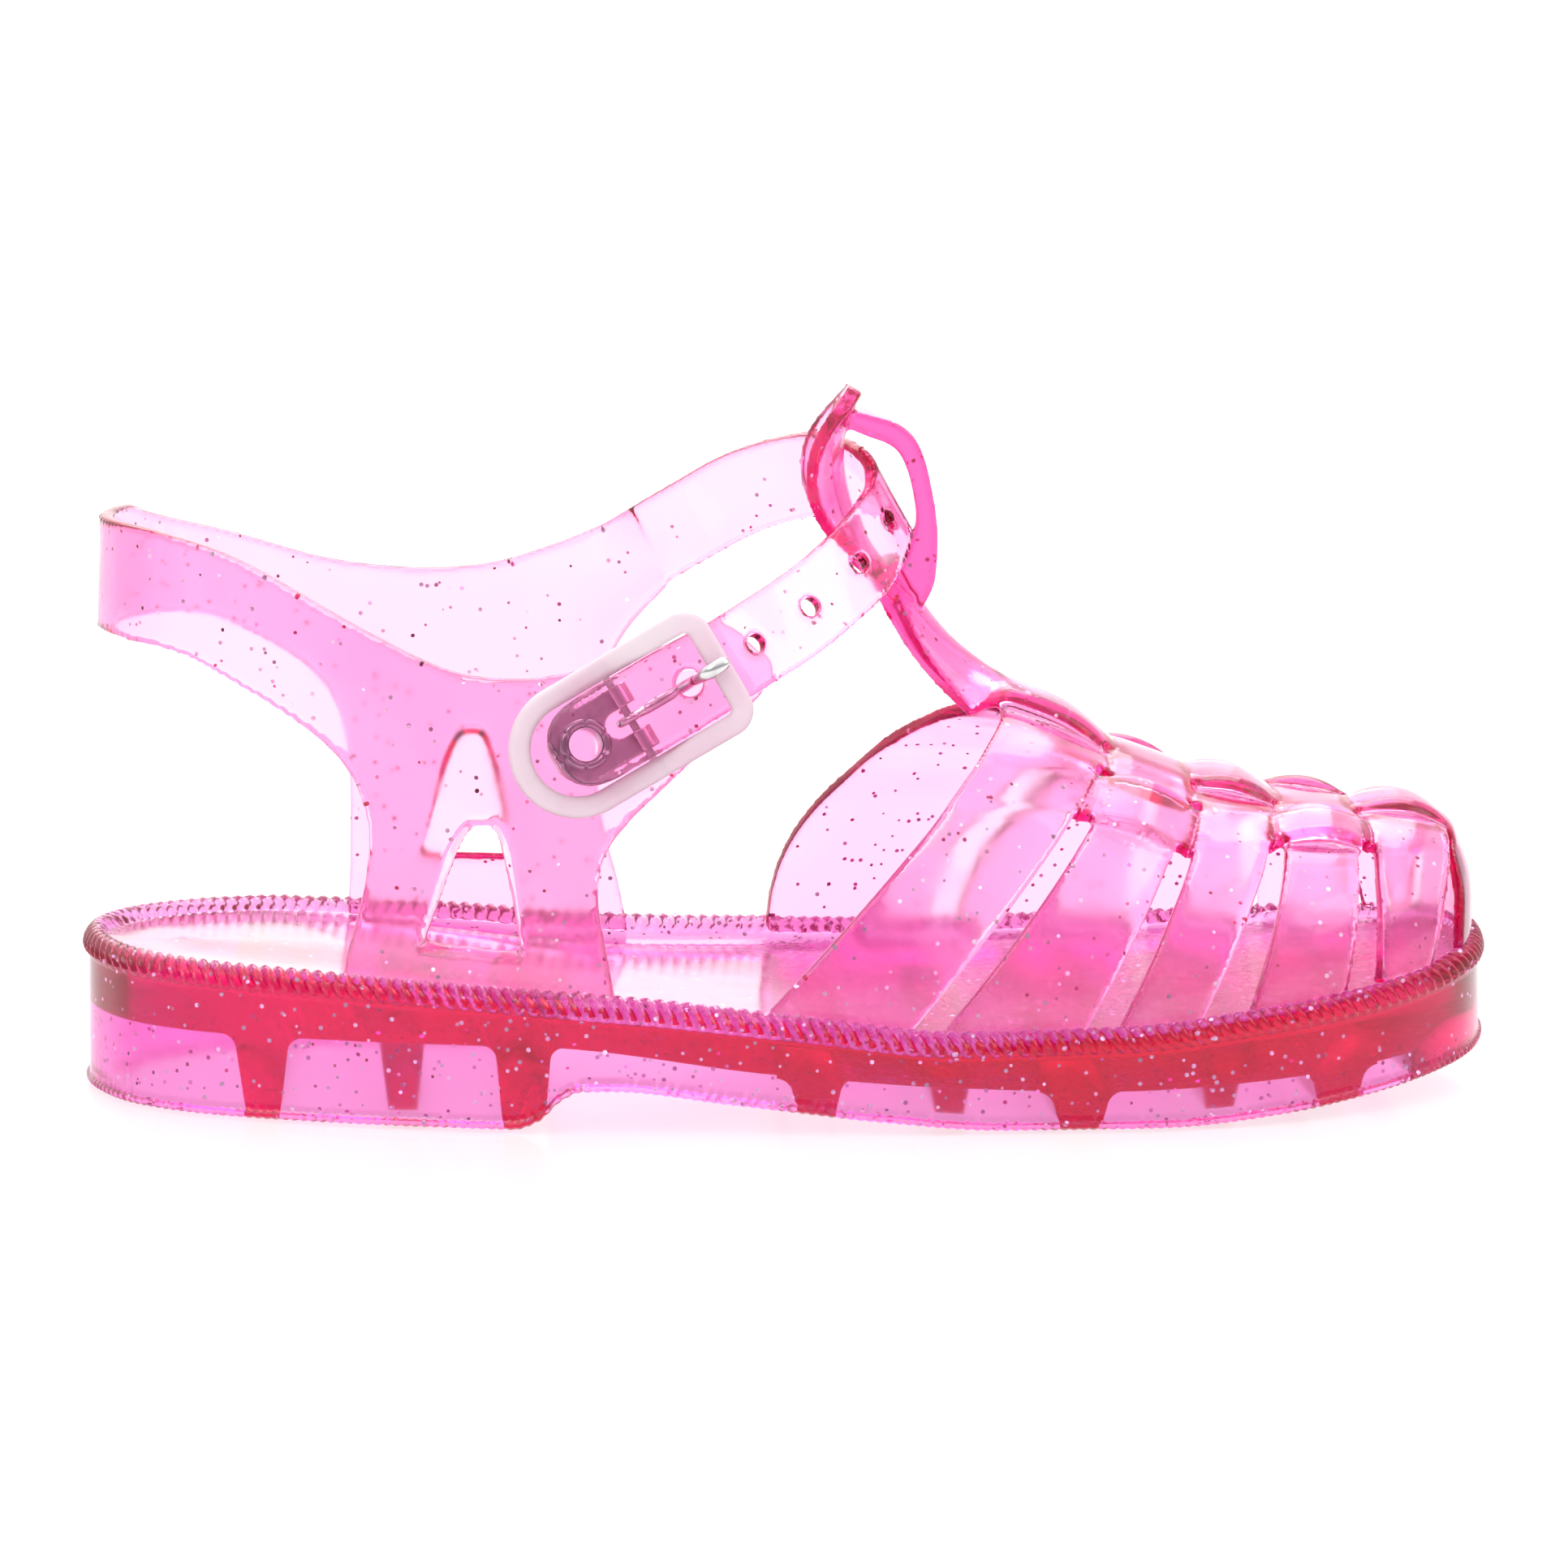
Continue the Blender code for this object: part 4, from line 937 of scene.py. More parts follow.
cage_sheet = mesh_of("cage_sheet", cage_points, cage_faces)
woven = cage_sheet.modifiers.new("woven", "DISPLACE")
woven.mid_level = 0.0
woven.strength = -max(cage_lifts) * MM
woven.vertex_group = weigh(cage_sheet, "lift", cage_lifts, max(cage_lifts))
rounded = cage_sheet.modifiers.new("rounded", "SUBSURF")
rounded.levels = 1
rounded.render_levels = 1
cage_sheet = plain(solidify(cage_sheet, max(cage_depths), -1.0, cage_depths), "cage_sheet")
loop_bar = []
route = path_through(LOOP_ROWS, 6)
for k, here in enumerate(route):
    run = (route[min(k + 1, len(route) - 1)] - route[max(k - 1, 0)]).to_2d().normalized()
    out = Vector((-run.y, run.x)) * 0.5 * here.z
    loop_bar.append([(here.x + side * out.x, LOOP_Y + across * LOOP_HALF, here.y + side * out.y)
                     for side, across in ((1, -1), (1, 1), (-1, 1), (-1, -1))])
leaf = []
for z, x, half, back in path_through(LEAF_ROWS, 5):
    leaf.append([(x - back * t * t, LEAF_Y + half * t, z) for t in LEAF_LINES])
leaf = plain(solidify(loft("leaf", leaf, closed=False, capped=False), LEAF_THICKNESS, 0.0), "leaf")
cage = moulded("cage_moulding", [cage_sheet, loft("loop_bar", loop_bar), leaf], CAGE_VOXEL, smoothing=2)
mark_runs(cage)
cage = thinned(cage, CAGE_SHARE)
# The cage's edges and thick parts are painted a deeper shade of pink, standing in for light lost along long
# runs through the PVC.
cage_pvc = jelly(
    "cage_pink_pvc", tint=(0.99, 0.86, 0.94, 1), flow_tint=(0.985, 0.80, 0.91, 1),
    absorbed=(0.985, 0.0, 0.62, 1), density=200.0, gloss=0.10, painted_edge_shade=(0.90, 0.30, 0.58, 1),
)
dress(cage, cage_pvc)
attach(cage, "root")
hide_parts("vamp_cage")
glitter(cage, "cage_glitter", density=0.05, shallow=0.3, deep=0.7, seed=12)

# Back upper: a clear pink PVC wall round the heel and up both sides with a window cut in each, moulded in
# one with the ankle strap. The strap is punched with holes and comes round through the loop to the buckle.
TOP_HALF_LENGTH = 80.5
TOP_HEIGHT = 66.0
# x, then lateral and medial edge of the wall at its top height
TOP_ROWS = (
    (-80.5, 0.8, 0.8), (-78.0, -8.3, 9.8), (-73.0, -13.8, 15.2), (-64.0, -18.0, 19.2), (-48.0, -20.6, 21.6),
    (-30.0, -20.0, 21.4), (-12.0, -17.0, 20.2), (8.0, -12.5, 17.0), (80.5, 0.0, 0.0),
)
WALL_INSET = 4.9
WALL_DROP = 1.5
WALL_BULGE = 1.0
WALL_FRONT = 0.56
WALL_STEPS = 90
WALL_LEVELS = 30
WALL_OVER = 1.14
WALL_FOOT = 15.0
QUARTER_REACH = 60.0
LATERAL_END = 0.7
MEDIAL_END = -0.5
# Edges of the two quarters in side view
LATERAL_LOWER = (
    (-54.0, 8.0), (-52.8, 18.6), (-50.4, 28.0), (-49.9, 35.0), (-51.6, 41.0), (-56.0, 46.0), (-65.2, 51.7),
    (-74.0, 55.4), (-90.0, 56.2),
)
LATERAL_TOP = (
    (-90.0, 68.9), (-80.2, 69.6), (-73.6, 69.0), (-64.2, 66.2), (-48.8, 57.8), (-40.0, 53.7), (-33.0, 52.7),
    (-26.8, 53.2), (-17.0, 55.4), (-8.6, 59.0),
)
LATERAL_FRONT = (
    (-5.0, 56.6), (-2.4, 51.6), (-12.9, 41.7), (-18.8, 36.3), (-22.0, 32.0), (-22.8, 27.0), (-21.9, 20.8),
    (-19.6, 8.0),
)
MEDIAL_LOWER = (
    (-54.4, 8.0), (-53.4, 19.0), (-53.2, 34.0), (-54.6, 42.0), (-58.4, 47.4), (-66.0, 52.4), (-74.0, 55.2),
    (-91.0, 55.9),
)
MEDIAL_TOP = (
    (-91.0, 69.3), (-80.4, 69.5), (-77.6, 68.3), (-74.0, 66.8), (-65.8, 64.2), (-56.0, 61.0), (-45.8, 59.6),
    (-36.0, 60.0), (-27.0, 62.6), (-17.5, 66.6),
)
MEDIAL_FRONT = (
    (-13.4, 57.2), (-18.8, 51.0), (-21.8, 44.0), (-22.4, 36.0), (-21.4, 27.0), (-19.4, 19.0), (-17.6, 8.0),
)
LATERAL_WINDOW = ((-43.2, 21.6), (-38.6, 33.6), (-36.4, 35.0), (-34.4, 33.6), (-31.8, 20.6))
MEDIAL_WINDOW = ((-44.2, 23.8), (-40.0, 36.6), (-37.8, 38.4), (-36.0, 36.6), (-33.2, 23.6))
WINDOW_BEVEL = 1.1
# Depth from the inner face and spread of a window's cut
WINDOW_ROWS = ((-3.0, 0.0), (0.6, 0.0), (WALL, WINDOW_BEVEL), (WALL + 2.0, WINDOW_BEVEL + 1.8))
# Strap where it grows out of the medial quarter: x, z of its top edge, then of its low edge
STRAP_ROOT = (((-33.0, 60.2), (-29.5, 50.5)), ((-25.0, 62.9), (-21.0, 53.2)))
# Strap on to the loop and the buckle: its top edge x, y, z, then its low edge
STRAP_ROWS = (
    (-14.0, 20.6, 69.6, -9.6, 22.0, 60.0),
    (-5.0, 16.4, 75.0, -0.2, 17.6, 65.4), (4.8, 10.2, 78.0, 10.0, 11.2, 68.0),
    (10.4, 2.0, 76.8, 15.9, 2.0, 67.0), (11.2, -3.6, 73.8, 15.2, -4.6, 64.4),
    (8.3, -9.4, 70.6, 12.6, -11.2, 61.2), (4.4, -14.2, 67.6, 8.6, -16.6, 58.4),
    (-0.8, -18.6, 64.2, 3.6, -21.4, 55.2),
)
# Strap through the buckle: place along the buckle's own axis, half width
BUCKLE_STRAP_ROWS = ((6.0, 5.1), (-1.0, 5.3), (-8.0, 5.3), (-14.5, 5.1), (-17.4, 3.7), (-18.5, 1.6))
STRAP_THICKNESS = 1.7
STRAP_OUT = 5.9
STRAP_STEPS = 8
STRAP_LINES = 8
HOLE_COUNT = 4
HOLE_PITCH = 9.9
HOLE_DIAMETER = 2.4
PRONG_HOLE_DIAMETER = 3.2
PRONG_HOLE_AT = -0.2
BUCKLE_X = -12.6
BUCKLE_Z = 51.2
BUCKLE_ANGLE = math.radians(28.6)
RIVET_AT = -14.0
RIVET_BARREL = 4.7
RIVET_ROOM = 0.6
ROD_SIDES = 32
BACK_VOXEL = 0.42

top_angles = [math.acos(-row[0] / TOP_HALF_LENGTH) for row in TOP_ROWS]
lateral_top, medial_top = (curve(top_angles, values) for values in columns(TOP_ROWS)[1:])


def wall_point(angle, t):
    """Inner face of the wall: t is 0 at the rim and 1 at the top height. Angles under 0 are medial."""
    top_y = lateral_top(angle) if angle >= 0 else medial_top(-angle)
    low = Vector((*inset_point(angle, WALL_INSET), rim(angle) - WALL_DROP))
    top = Vector((-TOP_HALF_LENGTH * math.cos(angle), top_y, TOP_HEIGHT))
    further_in = Vector((*inset_point(angle, WALL_INSET + 1.0), low.z))
    return low.lerp(top, t) + (low - further_in) * WALL_BULGE * math.sin(math.pi * min(t, 1.0))


def wall_at(x, z, side):
    """Inner face and outward direction of the wall at a place in side view: side 1 lateral, -1 medial."""
    low, high = 0.0, WALL_FRONT * math.pi
    t = 0.5
    for _ in range(30):
        middle = 0.5 * (low + high)
        for _ in range(6):
            t += (z - wall_point(side * middle, t).z) / (TOP_HEIGHT - WALL_FOOT)
        low, high = (middle, high) if wall_point(side * middle, t).x < x else (low, middle)
    inner = wall_point(side * middle, t)
    run = wall_point(side * middle + NEAR, t) - wall_point(side * middle - NEAR, t)
    rise = wall_point(side * middle, t + NEAR) - wall_point(side * middle, t - NEAR)
    return inner, run.cross(rise).normalized()


wall_angles = [WALL_FRONT * math.pi * (1.0 - k / WALL_STEPS) for k in range(2 * WALL_STEPS + 1)]
wall_rows = []
for t in [WALL_OVER * k / WALL_LEVELS for k in range(WALL_LEVELS + 1)]:
    wall_rows.append([wall_point(angle, t) for angle in wall_angles])
back = plain(solidify(loft("back_wall", wall_rows, closed=False, capped=False), WALL, 1.0), "back_wall")


def side_view(*edges):
    return [point for edge_rows in edges for point in path_through(edge_rows, 6)]


lateral_view = side_view(LATERAL_LOWER, LATERAL_TOP, LATERAL_FRONT)
medial_view = side_view(MEDIAL_LOWER, MEDIAL_TOP, MEDIAL_FRONT)
quarters = prism("quarters", lateral_view, -QUARTER_REACH, LATERAL_END)
boolean(quarters, prism("medial_quarter", medial_view, MEDIAL_END, QUARTER_REACH), "UNION")
boolean(back, plain(quarters, "quarters"), "INTERSECT")
for name, window, side in (("lateral_window", LATERAL_WINDOW, 1), ("medial_window", MEDIAL_WINDOW, -1)):
    view = path_through(window, 5)
    centre = Vector((sum(p.x for p in view) / len(view), sum(p.y for p in view) / len(view)))
    rings = []
    for depth, spread in WINDOW_ROWS:
        ring = []
        for p in view:
            wide = p + (p - centre).normalized() * spread
            inner, out = wall_at(wide.x, wide.y, side)
            ring.append(inner + out * depth)
        rings.append(ring)
    boolean(back, loft(name, rings), "DIFFERENCE")

ahead = Vector((math.cos(BUCKLE_ANGLE), math.sin(BUCKLE_ANGLE)))


def tab_point(along, across):
    """Outer face of the lateral tab at a place in the buckle's own directions."""
    x = BUCKLE_X + along * ahead.x - across * ahead.y
    z = BUCKLE_Z + along * ahead.y + across * ahead.x
    inner, out = wall_at(x, z, 1)
    return inner + out * WALL


buckle_place = tab_point(0, 0)
buckle_along = (tab_point(5, 0) - tab_point(-15, 0)).normalized()
buckle_out = buckle_along.cross(tab_point(0, 4) - tab_point(0, -4)).normalized()
buckle_across = buckle_out.cross(buckle_along)


def at_buckle(along, across, out):
    return buckle_place + buckle_along * along + buckle_across * across + buckle_out * out


def rod(name, centre, axis, diameter, length):
    turn = axis.to_track_quat("Z", "Y")
    around = [2 * math.pi * k / ROD_SIDES for k in range(ROD_SIDES)]
    rings = []
    for end in (-0.5 * length, 0.5 * length):
        circle = [(0.5 * diameter * math.cos(a), 0.5 * diameter * math.sin(a), end) for a in around]
        rings.append([centre + turn @ Vector(point) for point in circle])
    return loft(name, rings)


def rivet_hole(name, out, length):
    return rod(name, at_buckle(RIVET_AT, 0.0, out), buckle_out, RIVET_BARREL + RIVET_ROOM, length)


boolean(back, rivet_hole("rivet_hole", -1.0, 6.0), "DIFFERENCE")
back = plain(back, "back_wall")

ribbon_rows = []
for places in STRAP_ROOT:
    ends = [wall_at(*place, -1) for place in places]
    ribbon_rows.append([value for inner, out in ends for value in inner + out * WALL])
ribbon_rows += [list(row) for row in STRAP_ROWS]
for along, half in BUCKLE_STRAP_ROWS:
    ribbon_rows.append([*at_buckle(along, half, STRAP_OUT), *at_buckle(along, -half, STRAP_OUT)])
tops = path_through([row[:3] for row in ribbon_rows], STRAP_STEPS)
lows = path_through([row[3:] for row in ribbon_rows], STRAP_STEPS)
ribbon = [[top.lerp(low, k / STRAP_LINES) for k in range(STRAP_LINES + 1)] for top, low in zip(tops, lows)]
strap = plain(solidify(loft("strap", ribbon, closed=False, capped=False), STRAP_THICKNESS, -1.0), "strap")
middles = [top.lerp(low, 0.5) for top, low in zip(tops, lows)]
prong_hole = at_buckle(PRONG_HOLE_AT, 0.0, STRAP_OUT)
k = min(range(len(middles)), key=lambda i: (middles[i] - prong_hole).length)
walked = (middles[k] - prong_hole).dot(buckle_along)
for number in range(HOLE_COUNT):
    wanted = HOLE_PITCH * (number + 1)
    while walked < wanted:
        k -= 1
        walked += (middles[k] - middles[k + 1]).length
    step = middles[k] - middles[k + 1]
    centre = middles[k].lerp(middles[k + 1], (walked - wanted) / step.length)
    out = step.cross(tops[k] - lows[k]).normalized()
    boolean(strap, rod(f"hole_{number}", centre, out, HOLE_DIAMETER, length=8.0), "DIFFERENCE")
boolean(strap, rod("prong_hole", prong_hole, buckle_out, PRONG_HOLE_DIAMETER, length=6.0), "DIFFERENCE")
back = moulded("back_moulding", [back, plain(strap, "strap")], BACK_VOXEL, smoothing=3)
mark_runs(back)
# The back upper's edges and thick parts are painted a deeper shade of pink, standing in for light lost along
# long runs through the PVC.
back_pvc = jelly(
    "back_rose_pvc", tint=(0.99, 0.86, 0.94, 1), flow_tint=(0.985, 0.80, 0.91, 1),
    absorbed=(0.98, 0.0, 0.56, 1), density=225.0, gloss=0.06, painted_edge_shade=(0.90, 0.32, 0.60, 1),
)
dress(back, back_pvc)
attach(back, "root")
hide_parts("back_upper")
glitter(back, "back_glitter", density=0.035, shallow=0.3, deep=1.2, seed=13)

# Buckle plate: a grey strip of sheet metal folded round the buckle's pivot bar and riveted to the tab.
# Its end is rounded, and a slot in the fold leaves the prong free to turn.
PIVOT = -8.0
PIVOT_OUT = 2.1
PIVOT_DIAMETER = 1.0
PLATE_THICKNESS = 0.5
PLATE_OUT = 0.45
PLATE_HALF = 4.2
PLATE_END = -18.2
PLATE_CORNER = 3.4
PLATE_SLOT_HALF = 1.6
PLATE_SLOT_END = -11.0
PLATE_CUT = (-1.0, 5.0)
METAL_VOXEL = 0.13

plate_profile = [(PLATE_END, PLATE_OUT)]
fold_outer = PIVOT_OUT - PLATE_OUT
for radius, turns in ((fold_outer, range(0, 211, 10)), (fold_outer - PLATE_THICKNESS, range(210, -1, -10))):
    for turn in map(math.radians, turns):
        plate_profile.append((PIVOT + radius * math.sin(turn), PIVOT_OUT - radius * math.cos(turn)))
plate_profile.append((PLATE_END, PLATE_OUT + PLATE_THICKNESS))
plate_rings = []
for across in (-PLATE_HALF, PLATE_HALF):
    plate_rings.append([at_buckle(along, across, out) for along, out in plate_profile])
plate = loft("plate", plate_rings)


def bend_round(along, across, radius, turns):
    """Places round part of a circle in the buckle's plane."""
    turns = [math.radians(turn) for turn in turns]
    return [(along + radius * math.cos(turn), across + radius * math.sin(turn)) for turn in turns]


def through_plate(name, plan):
    return loft(name, [[at_buckle(*p, out) for p in plan] for out in PLATE_CUT])


plan = [(PIVOT + 3.0, -PLATE_HALF), (PIVOT + 3.0, PLATE_HALF)]
for side, turns in ((1, range(90, 181, 10)), (-1, range(180, 271, 10))):
    plan += bend_round(PLATE_END + PLATE_CORNER, side * (PLATE_HALF - PLATE_CORNER), PLATE_CORNER, turns)
boolean(plate, through_plate("plate_plan", plan), "INTERSECT")
slot = [(PIVOT + 4.0, -PLATE_SLOT_HALF), (PIVOT + 4.0, PLATE_SLOT_HALF)]
for turn in map(math.radians, range(90, 271, 15)):
    slot.append((PLATE_SLOT_END + PLATE_SLOT_HALF * (1.0 + math.cos(turn)), PLATE_SLOT_HALF * math.sin(turn)))
boolean(plate, through_plate("plate_slot", slot), "DIFFERENCE")
boolean(plate, rivet_hole("plate_hole", 0.5, 4.0), "DIFFERENCE")
plate = moulded("buckle_plate_sheet", [plain(plate, "plate")], METAL_VOXEL, smoothing=2)


def metal(name, colour, worn, polish, brushed):
    """Plated metal: a soft stain in the colour, fine drawing lines and a polish that varies."""
    made, shader, place = new_material(name)
    fix(shader, {"Metallic": 1.0})
    stain = noise(place, 420.0, 3.0)
    blend(stain.ramp(0.4, 0.7), colour, worn).into(shader, "Base Color")
    (stain * 0.12 + polish).into(shader, "Roughness")
    drawn = Wire.node(made.node_tree, "ShaderNodeMapping", {"Vector": place, "Scale": (700.0, 700.0, 6000.0)})
    roughen(shader, noise(drawn, 1.0, 2.0), brushed, 0.00003)
    return made


dress(plate, metal(
    "plate_grey_metal", colour=(0.86, 0.62, 0.76, 1), worn=(0.66, 0.45, 0.57, 1), polish=0.24, brushed=0.3,
))
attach(plate, "root")
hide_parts("buckle_plate")

# Eyelet: a hollow plated rivet that holds the plate to the tab. Its barrel is a drawn tube with a plain
# flange inside the shoe, and its outer end is rolled over and split by the setting tool.
RIVET_HOLE = 3.9
RIVET_FLANGE = 6.2
RIVET_FLANGE_THICKNESS = 0.5
RIVET_GAP = 0.3
RIVET_SPLITS = 6
RIVET_SPLIT_DEPTH = 0.35
RIVET_SIDES = 96

flange_high = PLATE_OUT + PLATE_THICKNESS + RIVET_GAP
flange_low = -WALL - 2 * RIVET_GAP
rolled = 0.25 * (RIVET_FLANGE - RIVET_HOLE)
flange_foot = flange_low - RIVET_FLANGE_THICKNESS
hole = 0.5 * RIVET_HOLE
barrel = 0.5 * RIVET_BARREL
flange = 0.5 * RIVET_FLANGE
rivet_section = [
    (hole, flange_foot + 0.15), (hole + 0.15, flange_foot), (flange - 0.12, flange_foot),
    (flange, flange_low - 0.2), (flange - 0.1, flange_low), (barrel, flange_low), (barrel, flange_high),
]
outer_end = len(rivet_section)
rivet_section.append((flange - 0.1, flange_high))
for turn in map(math.radians, range(0, 181, 15)):
    rivet_section.append((hole + rolled + rolled * math.cos(turn), flange_high + 0.1 + 0.55 * math.sin(turn)))
eyelet_rings = []
for k in range(RIVET_SIDES + 1):
    turn = 2 * math.pi * (k % RIVET_SIDES) / RIVET_SIDES
    split = RIVET_SPLIT_DEPTH * max(math.cos(RIVET_SPLITS * turn), 0.0) ** 12
    ring = []
    for number, (radius, out) in enumerate(rivet_section):
        radius -= split if number >= outer_end and radius > barrel else 0.0
        ring.append(at_buckle(RIVET_AT + radius * math.cos(turn), radius * math.sin(turn), out))
    eyelet_rings.append(ring)
eyelet = plain(loft("eyelet", eyelet_rings, capped=False), "buckle_eyelet")
shade(eyelet, 40)
dress(eyelet, metal(
    "eyelet_plated_metal", colour=(0.55, 0.47, 0.53, 1), worn=(0.40, 0.33, 0.39, 1),
    polish=0.16, brushed=0.15,
))
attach(eyelet, "root")
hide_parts("buckle_rivet")

# Prong: a bright plated wire hooked round the pivot bar. It rises through the strap's hole, and its flattened
# tip lies over the crossbar.
PRONG_DIAMETER = 1.3
HOOK_DIAMETER = 1.0
HOOK_GAP = 0.25
PRONG_TIP_WIDTH = 1.75
PRONG_TIP_FROM = 0.6
PRONG_TIP_LENGTH = 1.2
PRONG_SIDES = 20
# Share of the full thickness at the ends, from the last ring inwards
PRONG_ENDS = (0.35, 0.72, 0.92)
# Place along the buckle and height over the tab
PRONG_ROWS = ((-6.2, 2.1), (-2.4, 2.2), (-0.9, 3.2), (0.0, 5.6), (0.7, 8.4), (1.9, 9.95), (4.4, 10.0))

hook_middle = 0.5 * PIVOT_DIAMETER + HOOK_GAP + 0.5 * HOOK_DIAMETER
prong_route = []
for turn in map(math.radians, range(-200, 61, 13)):
    along = PIVOT + hook_middle * math.sin(turn)
    prong_route.append(Vector((along, PIVOT_OUT + hook_middle * math.cos(turn))))
hook_count = len(prong_route)
prong_route += path_through(PRONG_ROWS, 6)
prong_rings = []
for k, here in enumerate(prong_route):
    run = (prong_route[min(k + 1, len(prong_route) - 1)] - prong_route[max(k - 1, 0)]).normalized()
    radius = 0.5 * (HOOK_DIAMETER + (PRONG_DIAMETER - HOOK_DIAMETER) * ease((k - hook_count + 2) / 4))
    half = radius + (0.5 * PRONG_TIP_WIDTH - radius) * ease((here.x - PRONG_TIP_FROM) / PRONG_TIP_LENGTH)
    to_end = min(k, len(prong_route) - 1 - k)
    blunt = PRONG_ENDS[to_end] if to_end < len(PRONG_ENDS) else 1.0
    ring = []
    for turn in (2 * math.pi * side / PRONG_SIDES for side in range(PRONG_SIDES)):
        lift = radius * blunt * math.cos(turn)
        ring.append(at_buckle(here.x - run.y * lift, half * blunt * math.sin(turn), here.y + run.x * lift))
    prong_rings.append(ring)
prong = plain(loft("prong", prong_rings), "buckle_prong_wire")
shade(prong, 50)
dress(prong, metal(
    "prong_bright_metal", colour=(0.80, 0.79, 0.79, 1), worn=(0.64, 0.62, 0.62, 1), polish=0.09, brushed=0.1,
))
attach(prong, "root")
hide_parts("buckle_prong")

# Buckle frame: a ring of frosted lilac-white plastic, square at the crossbar and round at the other end.
# It is moulded in one with the thin pivot bar that the plate and the prong are folded round.
FRAME_CROSSBAR = 3.5
FRAME_CORNER = 2.0
FRAME_ROUND_END = -15.3
FRAME_HALF = 6.75
FRAME_WIDTH = 2.6
FRAME_THICKNESS = 2.2
FRAME_OUT_CROSSBAR = 7.9
FRAME_OUT_ROUND = 2.4
FRAME_ROUNDING = 3.2
FRAME_SIDES = 24
FRAME_STEP = 2.0
POST_DIAMETER = 1.7
FRAME_VOXEL = 0.2

corner = FRAME_CROSSBAR - FRAME_CORNER
frame_side = [-FRAME_STEP * k for k in range(8)]
frame_route = [(FRAME_CROSSBAR, FRAME_STEP * k) for k in range(-2, 3)]
frame_route += bend_round(corner, FRAME_HALF - FRAME_CORNER, FRAME_CORNER, range(8, 91, 12))
frame_route += [(along, FRAME_HALF) for along in frame_side]
frame_route += bend_round(FRAME_ROUND_END, 0.0, FRAME_HALF, range(90, 271, 6))
frame_route += [(along, -FRAME_HALF) for along in frame_side[::-1]]
frame_route += bend_round(corner, FRAME_CORNER - FRAME_HALF, FRAME_CORNER, range(-90, -7, 12))


def frame_out(along):
    t = min(max((along - FRAME_ROUND_END) / (FRAME_CROSSBAR - 1.5 - FRAME_ROUND_END), 0.0), 1.0)
    return FRAME_OUT_ROUND + (FRAME_OUT_CROSSBAR - FRAME_OUT_ROUND) * t * t


frame_section = []
for turn in (2 * math.pi * k / FRAME_SIDES for k in range(FRAME_SIDES)):
    east = math.cos(turn)
    north = math.sin(turn)
    reach = (abs(east) ** FRAME_ROUNDING + abs(north) ** FRAME_ROUNDING) ** (-1.0 / FRAME_ROUNDING)
    frame_section.append((0.5 * FRAME_WIDTH * reach * east, 0.5 * FRAME_THICKNESS * reach * north))
frame_rings = []
for k, (along, across) in enumerate(frame_route):
    after = frame_route[(k + 1) % len(frame_route)]
    run = (Vector(after) - Vector(frame_route[k - 1])).normalized()
    frame_rings.append([at_buckle(along - run.y * wide, across + run.x * wide, frame_out(along) + out)
                        for wide, out in frame_section])
frame_rings.append(frame_rings[0])
frame_pieces = [loft("frame_ring", frame_rings, capped=False)]
pivot_middle = at_buckle(PIVOT, 0.0, PIVOT_OUT)
frame_pieces.append(rod("pivot_bar", pivot_middle, buckle_across, PIVOT_DIAMETER, 2 * FRAME_HALF))
for side in (-1, 1):
    foot = at_buckle(PIVOT, side * FRAME_HALF, 0.5 * (PIVOT_OUT + frame_out(PIVOT)))
    frame_pieces.append(rod(f"post_{side}", foot, buckle_out, POST_DIAMETER, length=2.6))
buckle = moulded("buckle_frame_moulding", frame_pieces, FRAME_VOXEL, smoothing=3)

frosted, shader, place = new_material("frosted_lilac_plastic")
tone = blend(noise(place, 110.0, 3.0).ramp(0.35, 0.7), (1.0, 0.88, 0.94, 1), (0.99, 0.78, 0.88, 1))
tone.into(shader, "Base Color")
frost = noise(place, 2600.0, 2.0)
(frost * 0.12 + 0.38).into(shader, "Roughness")
roughen(shader, frost, 0.25, 0.00004)
fix(shader, {"Transmission Weight": 0.3, "IOR": 1.46})
dress(buckle, frosted)
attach(buckle, "root")
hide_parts("buckle_frame")

# Set: a white sheet under the shoe and on behind it, bright by itself, with soft boxes at both sides, above
# and behind. The camera stands at the picture's angle, almost square to the outer side.
FLOOR_DROP = 0.0004
FLOOR_CORNERS = ((-6, -4), (6, -4), (6, 7), (-6, 7))

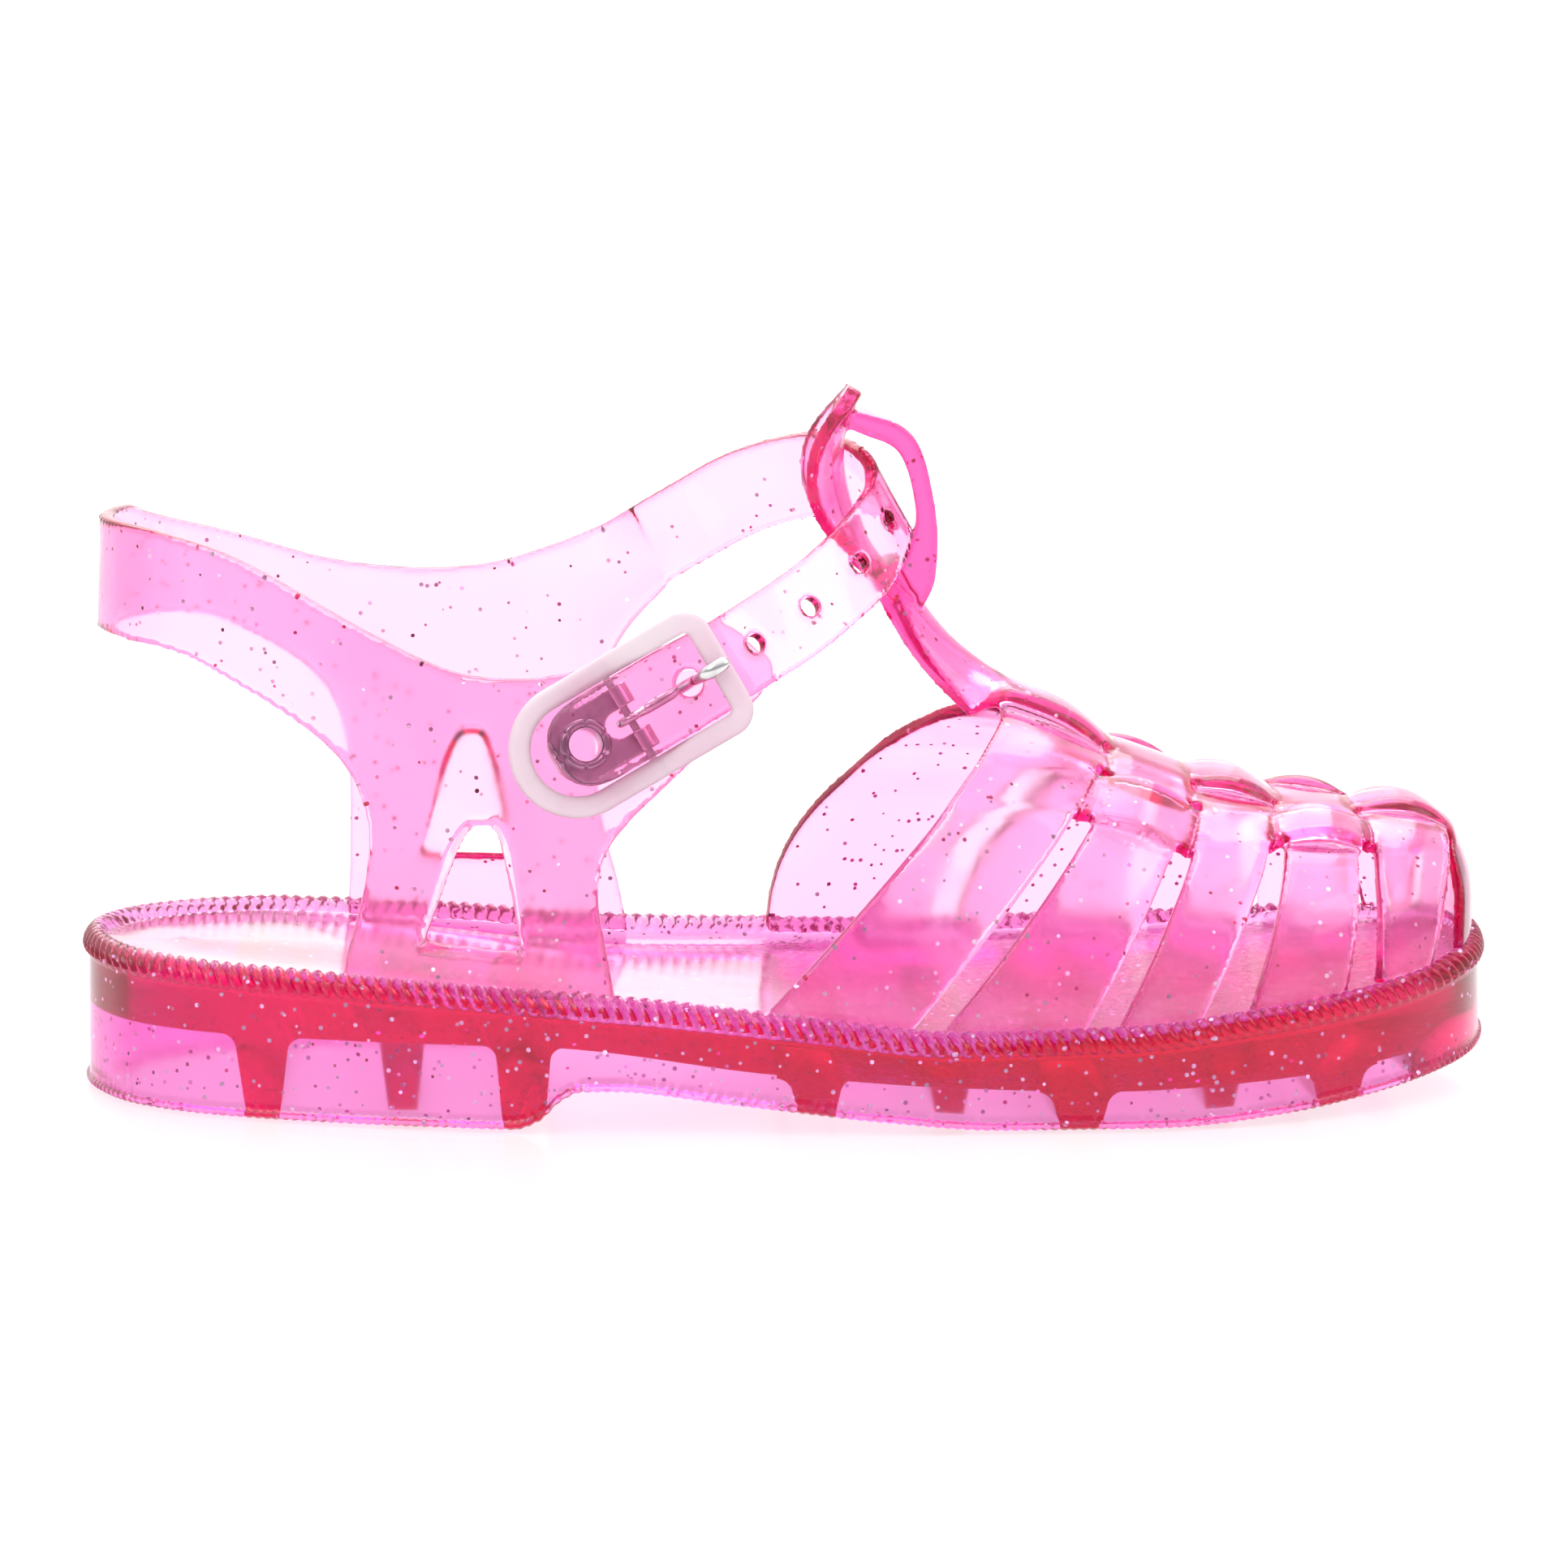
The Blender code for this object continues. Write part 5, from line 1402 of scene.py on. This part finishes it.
floor_mesh = bpy.data.meshes.new("floor")
floor_mesh.from_pydata([(x, y, -FLOOR_DROP) for x, y in FLOOR_CORNERS], [], [(0, 1, 2, 3)])
floor = linked("floor", floor_mesh)
sheet_white, sheet_shader, floor_place = new_material("white_sheet")
fix(sheet_shader, {
    "Base Color": (0.3, 0.3, 0.3, 1), "Emission Color": (1.0, 1.0, 1.0, 1), "Emission Strength": 0.68,
    "Specular IOR Level": 0.12,
})
(noise(floor_place, 30.0, 2.0) * 0.06 + 0.12).into(sheet_shader, "Roughness")
dress(floor, sheet_white)

world = bpy.data.worlds.new("white_room")
bpy.context.scene.world = world
world.use_nodes = True
backdrop = world.node_tree.nodes["Background"]
fix(backdrop, {"Color": (1.0, 1.0, 1.0, 1)})
way = Wire.node(world.node_tree, "ShaderNodeTexCoord", output="Generated")
beyond = Wire.node(world.node_tree, "ShaderNodeSeparateXYZ", {"Vector": way}, output="Y")
above = Wire.node(world.node_tree, "ShaderNodeSeparateXYZ", {"Vector": way}, output="Z")
((beyond * 0.6 + above).ramp(-0.3, 0.6) * 0.75 + 0.45).into(backdrop, "Strength")


def soft_box(name, place, aim, size, power):
    lamp = bpy.data.lights.new(name, "AREA")
    lamp.shape = "SQUARE"
    lamp.size = size
    lamp.energy = power
    made = linked(name, lamp)
    made.location = place
    made.rotation_euler = (Vector(aim) - Vector(place)).to_track_quat("-Z", "Y").to_euler()


soft_box("box_left", (-0.55, -0.75, 0.75), (0.0, 0.0, 0.03), 0.5, 1.8)
soft_box("box_right", (0.75, -0.35, 0.7), (0.02, 0.0, 0.03), 0.45, 1.2)
soft_box("box_top", (0.0, 0.15, 1.0), (0.0, 0.0, 0.0), 0.7, 1.6)
soft_box("box_back", (0.0, 1.0, 1.0), (0.0, 0.75, 0.0), 1.2, 13.0)
soft_box("box_rear", (0.0, 1.7, 0.5), (0.0, 0.0, 0.0), 0.8, 0.7)

camera_data = bpy.data.cameras.new("camera")
camera_data.sensor_width = 36.0
camera_data.lens = 140.3
camera = linked("camera", camera_data)
camera.location = (-0.0338, -0.7347, 0.166)
camera.rotation_euler = (math.radians(79.95), 0.0, math.radians(-2.6))
bpy.context.scene.camera = camera
bpy.context.scene.view_settings.view_transform = "Standard"
bpy.context.scene.cycles.max_bounces = 12
bpy.context.scene.cycles.transmission_bounces = 12
bpy.context.scene.cycles.glossy_bounces = 10
bpy.context.scene.cycles.use_light_tree = False
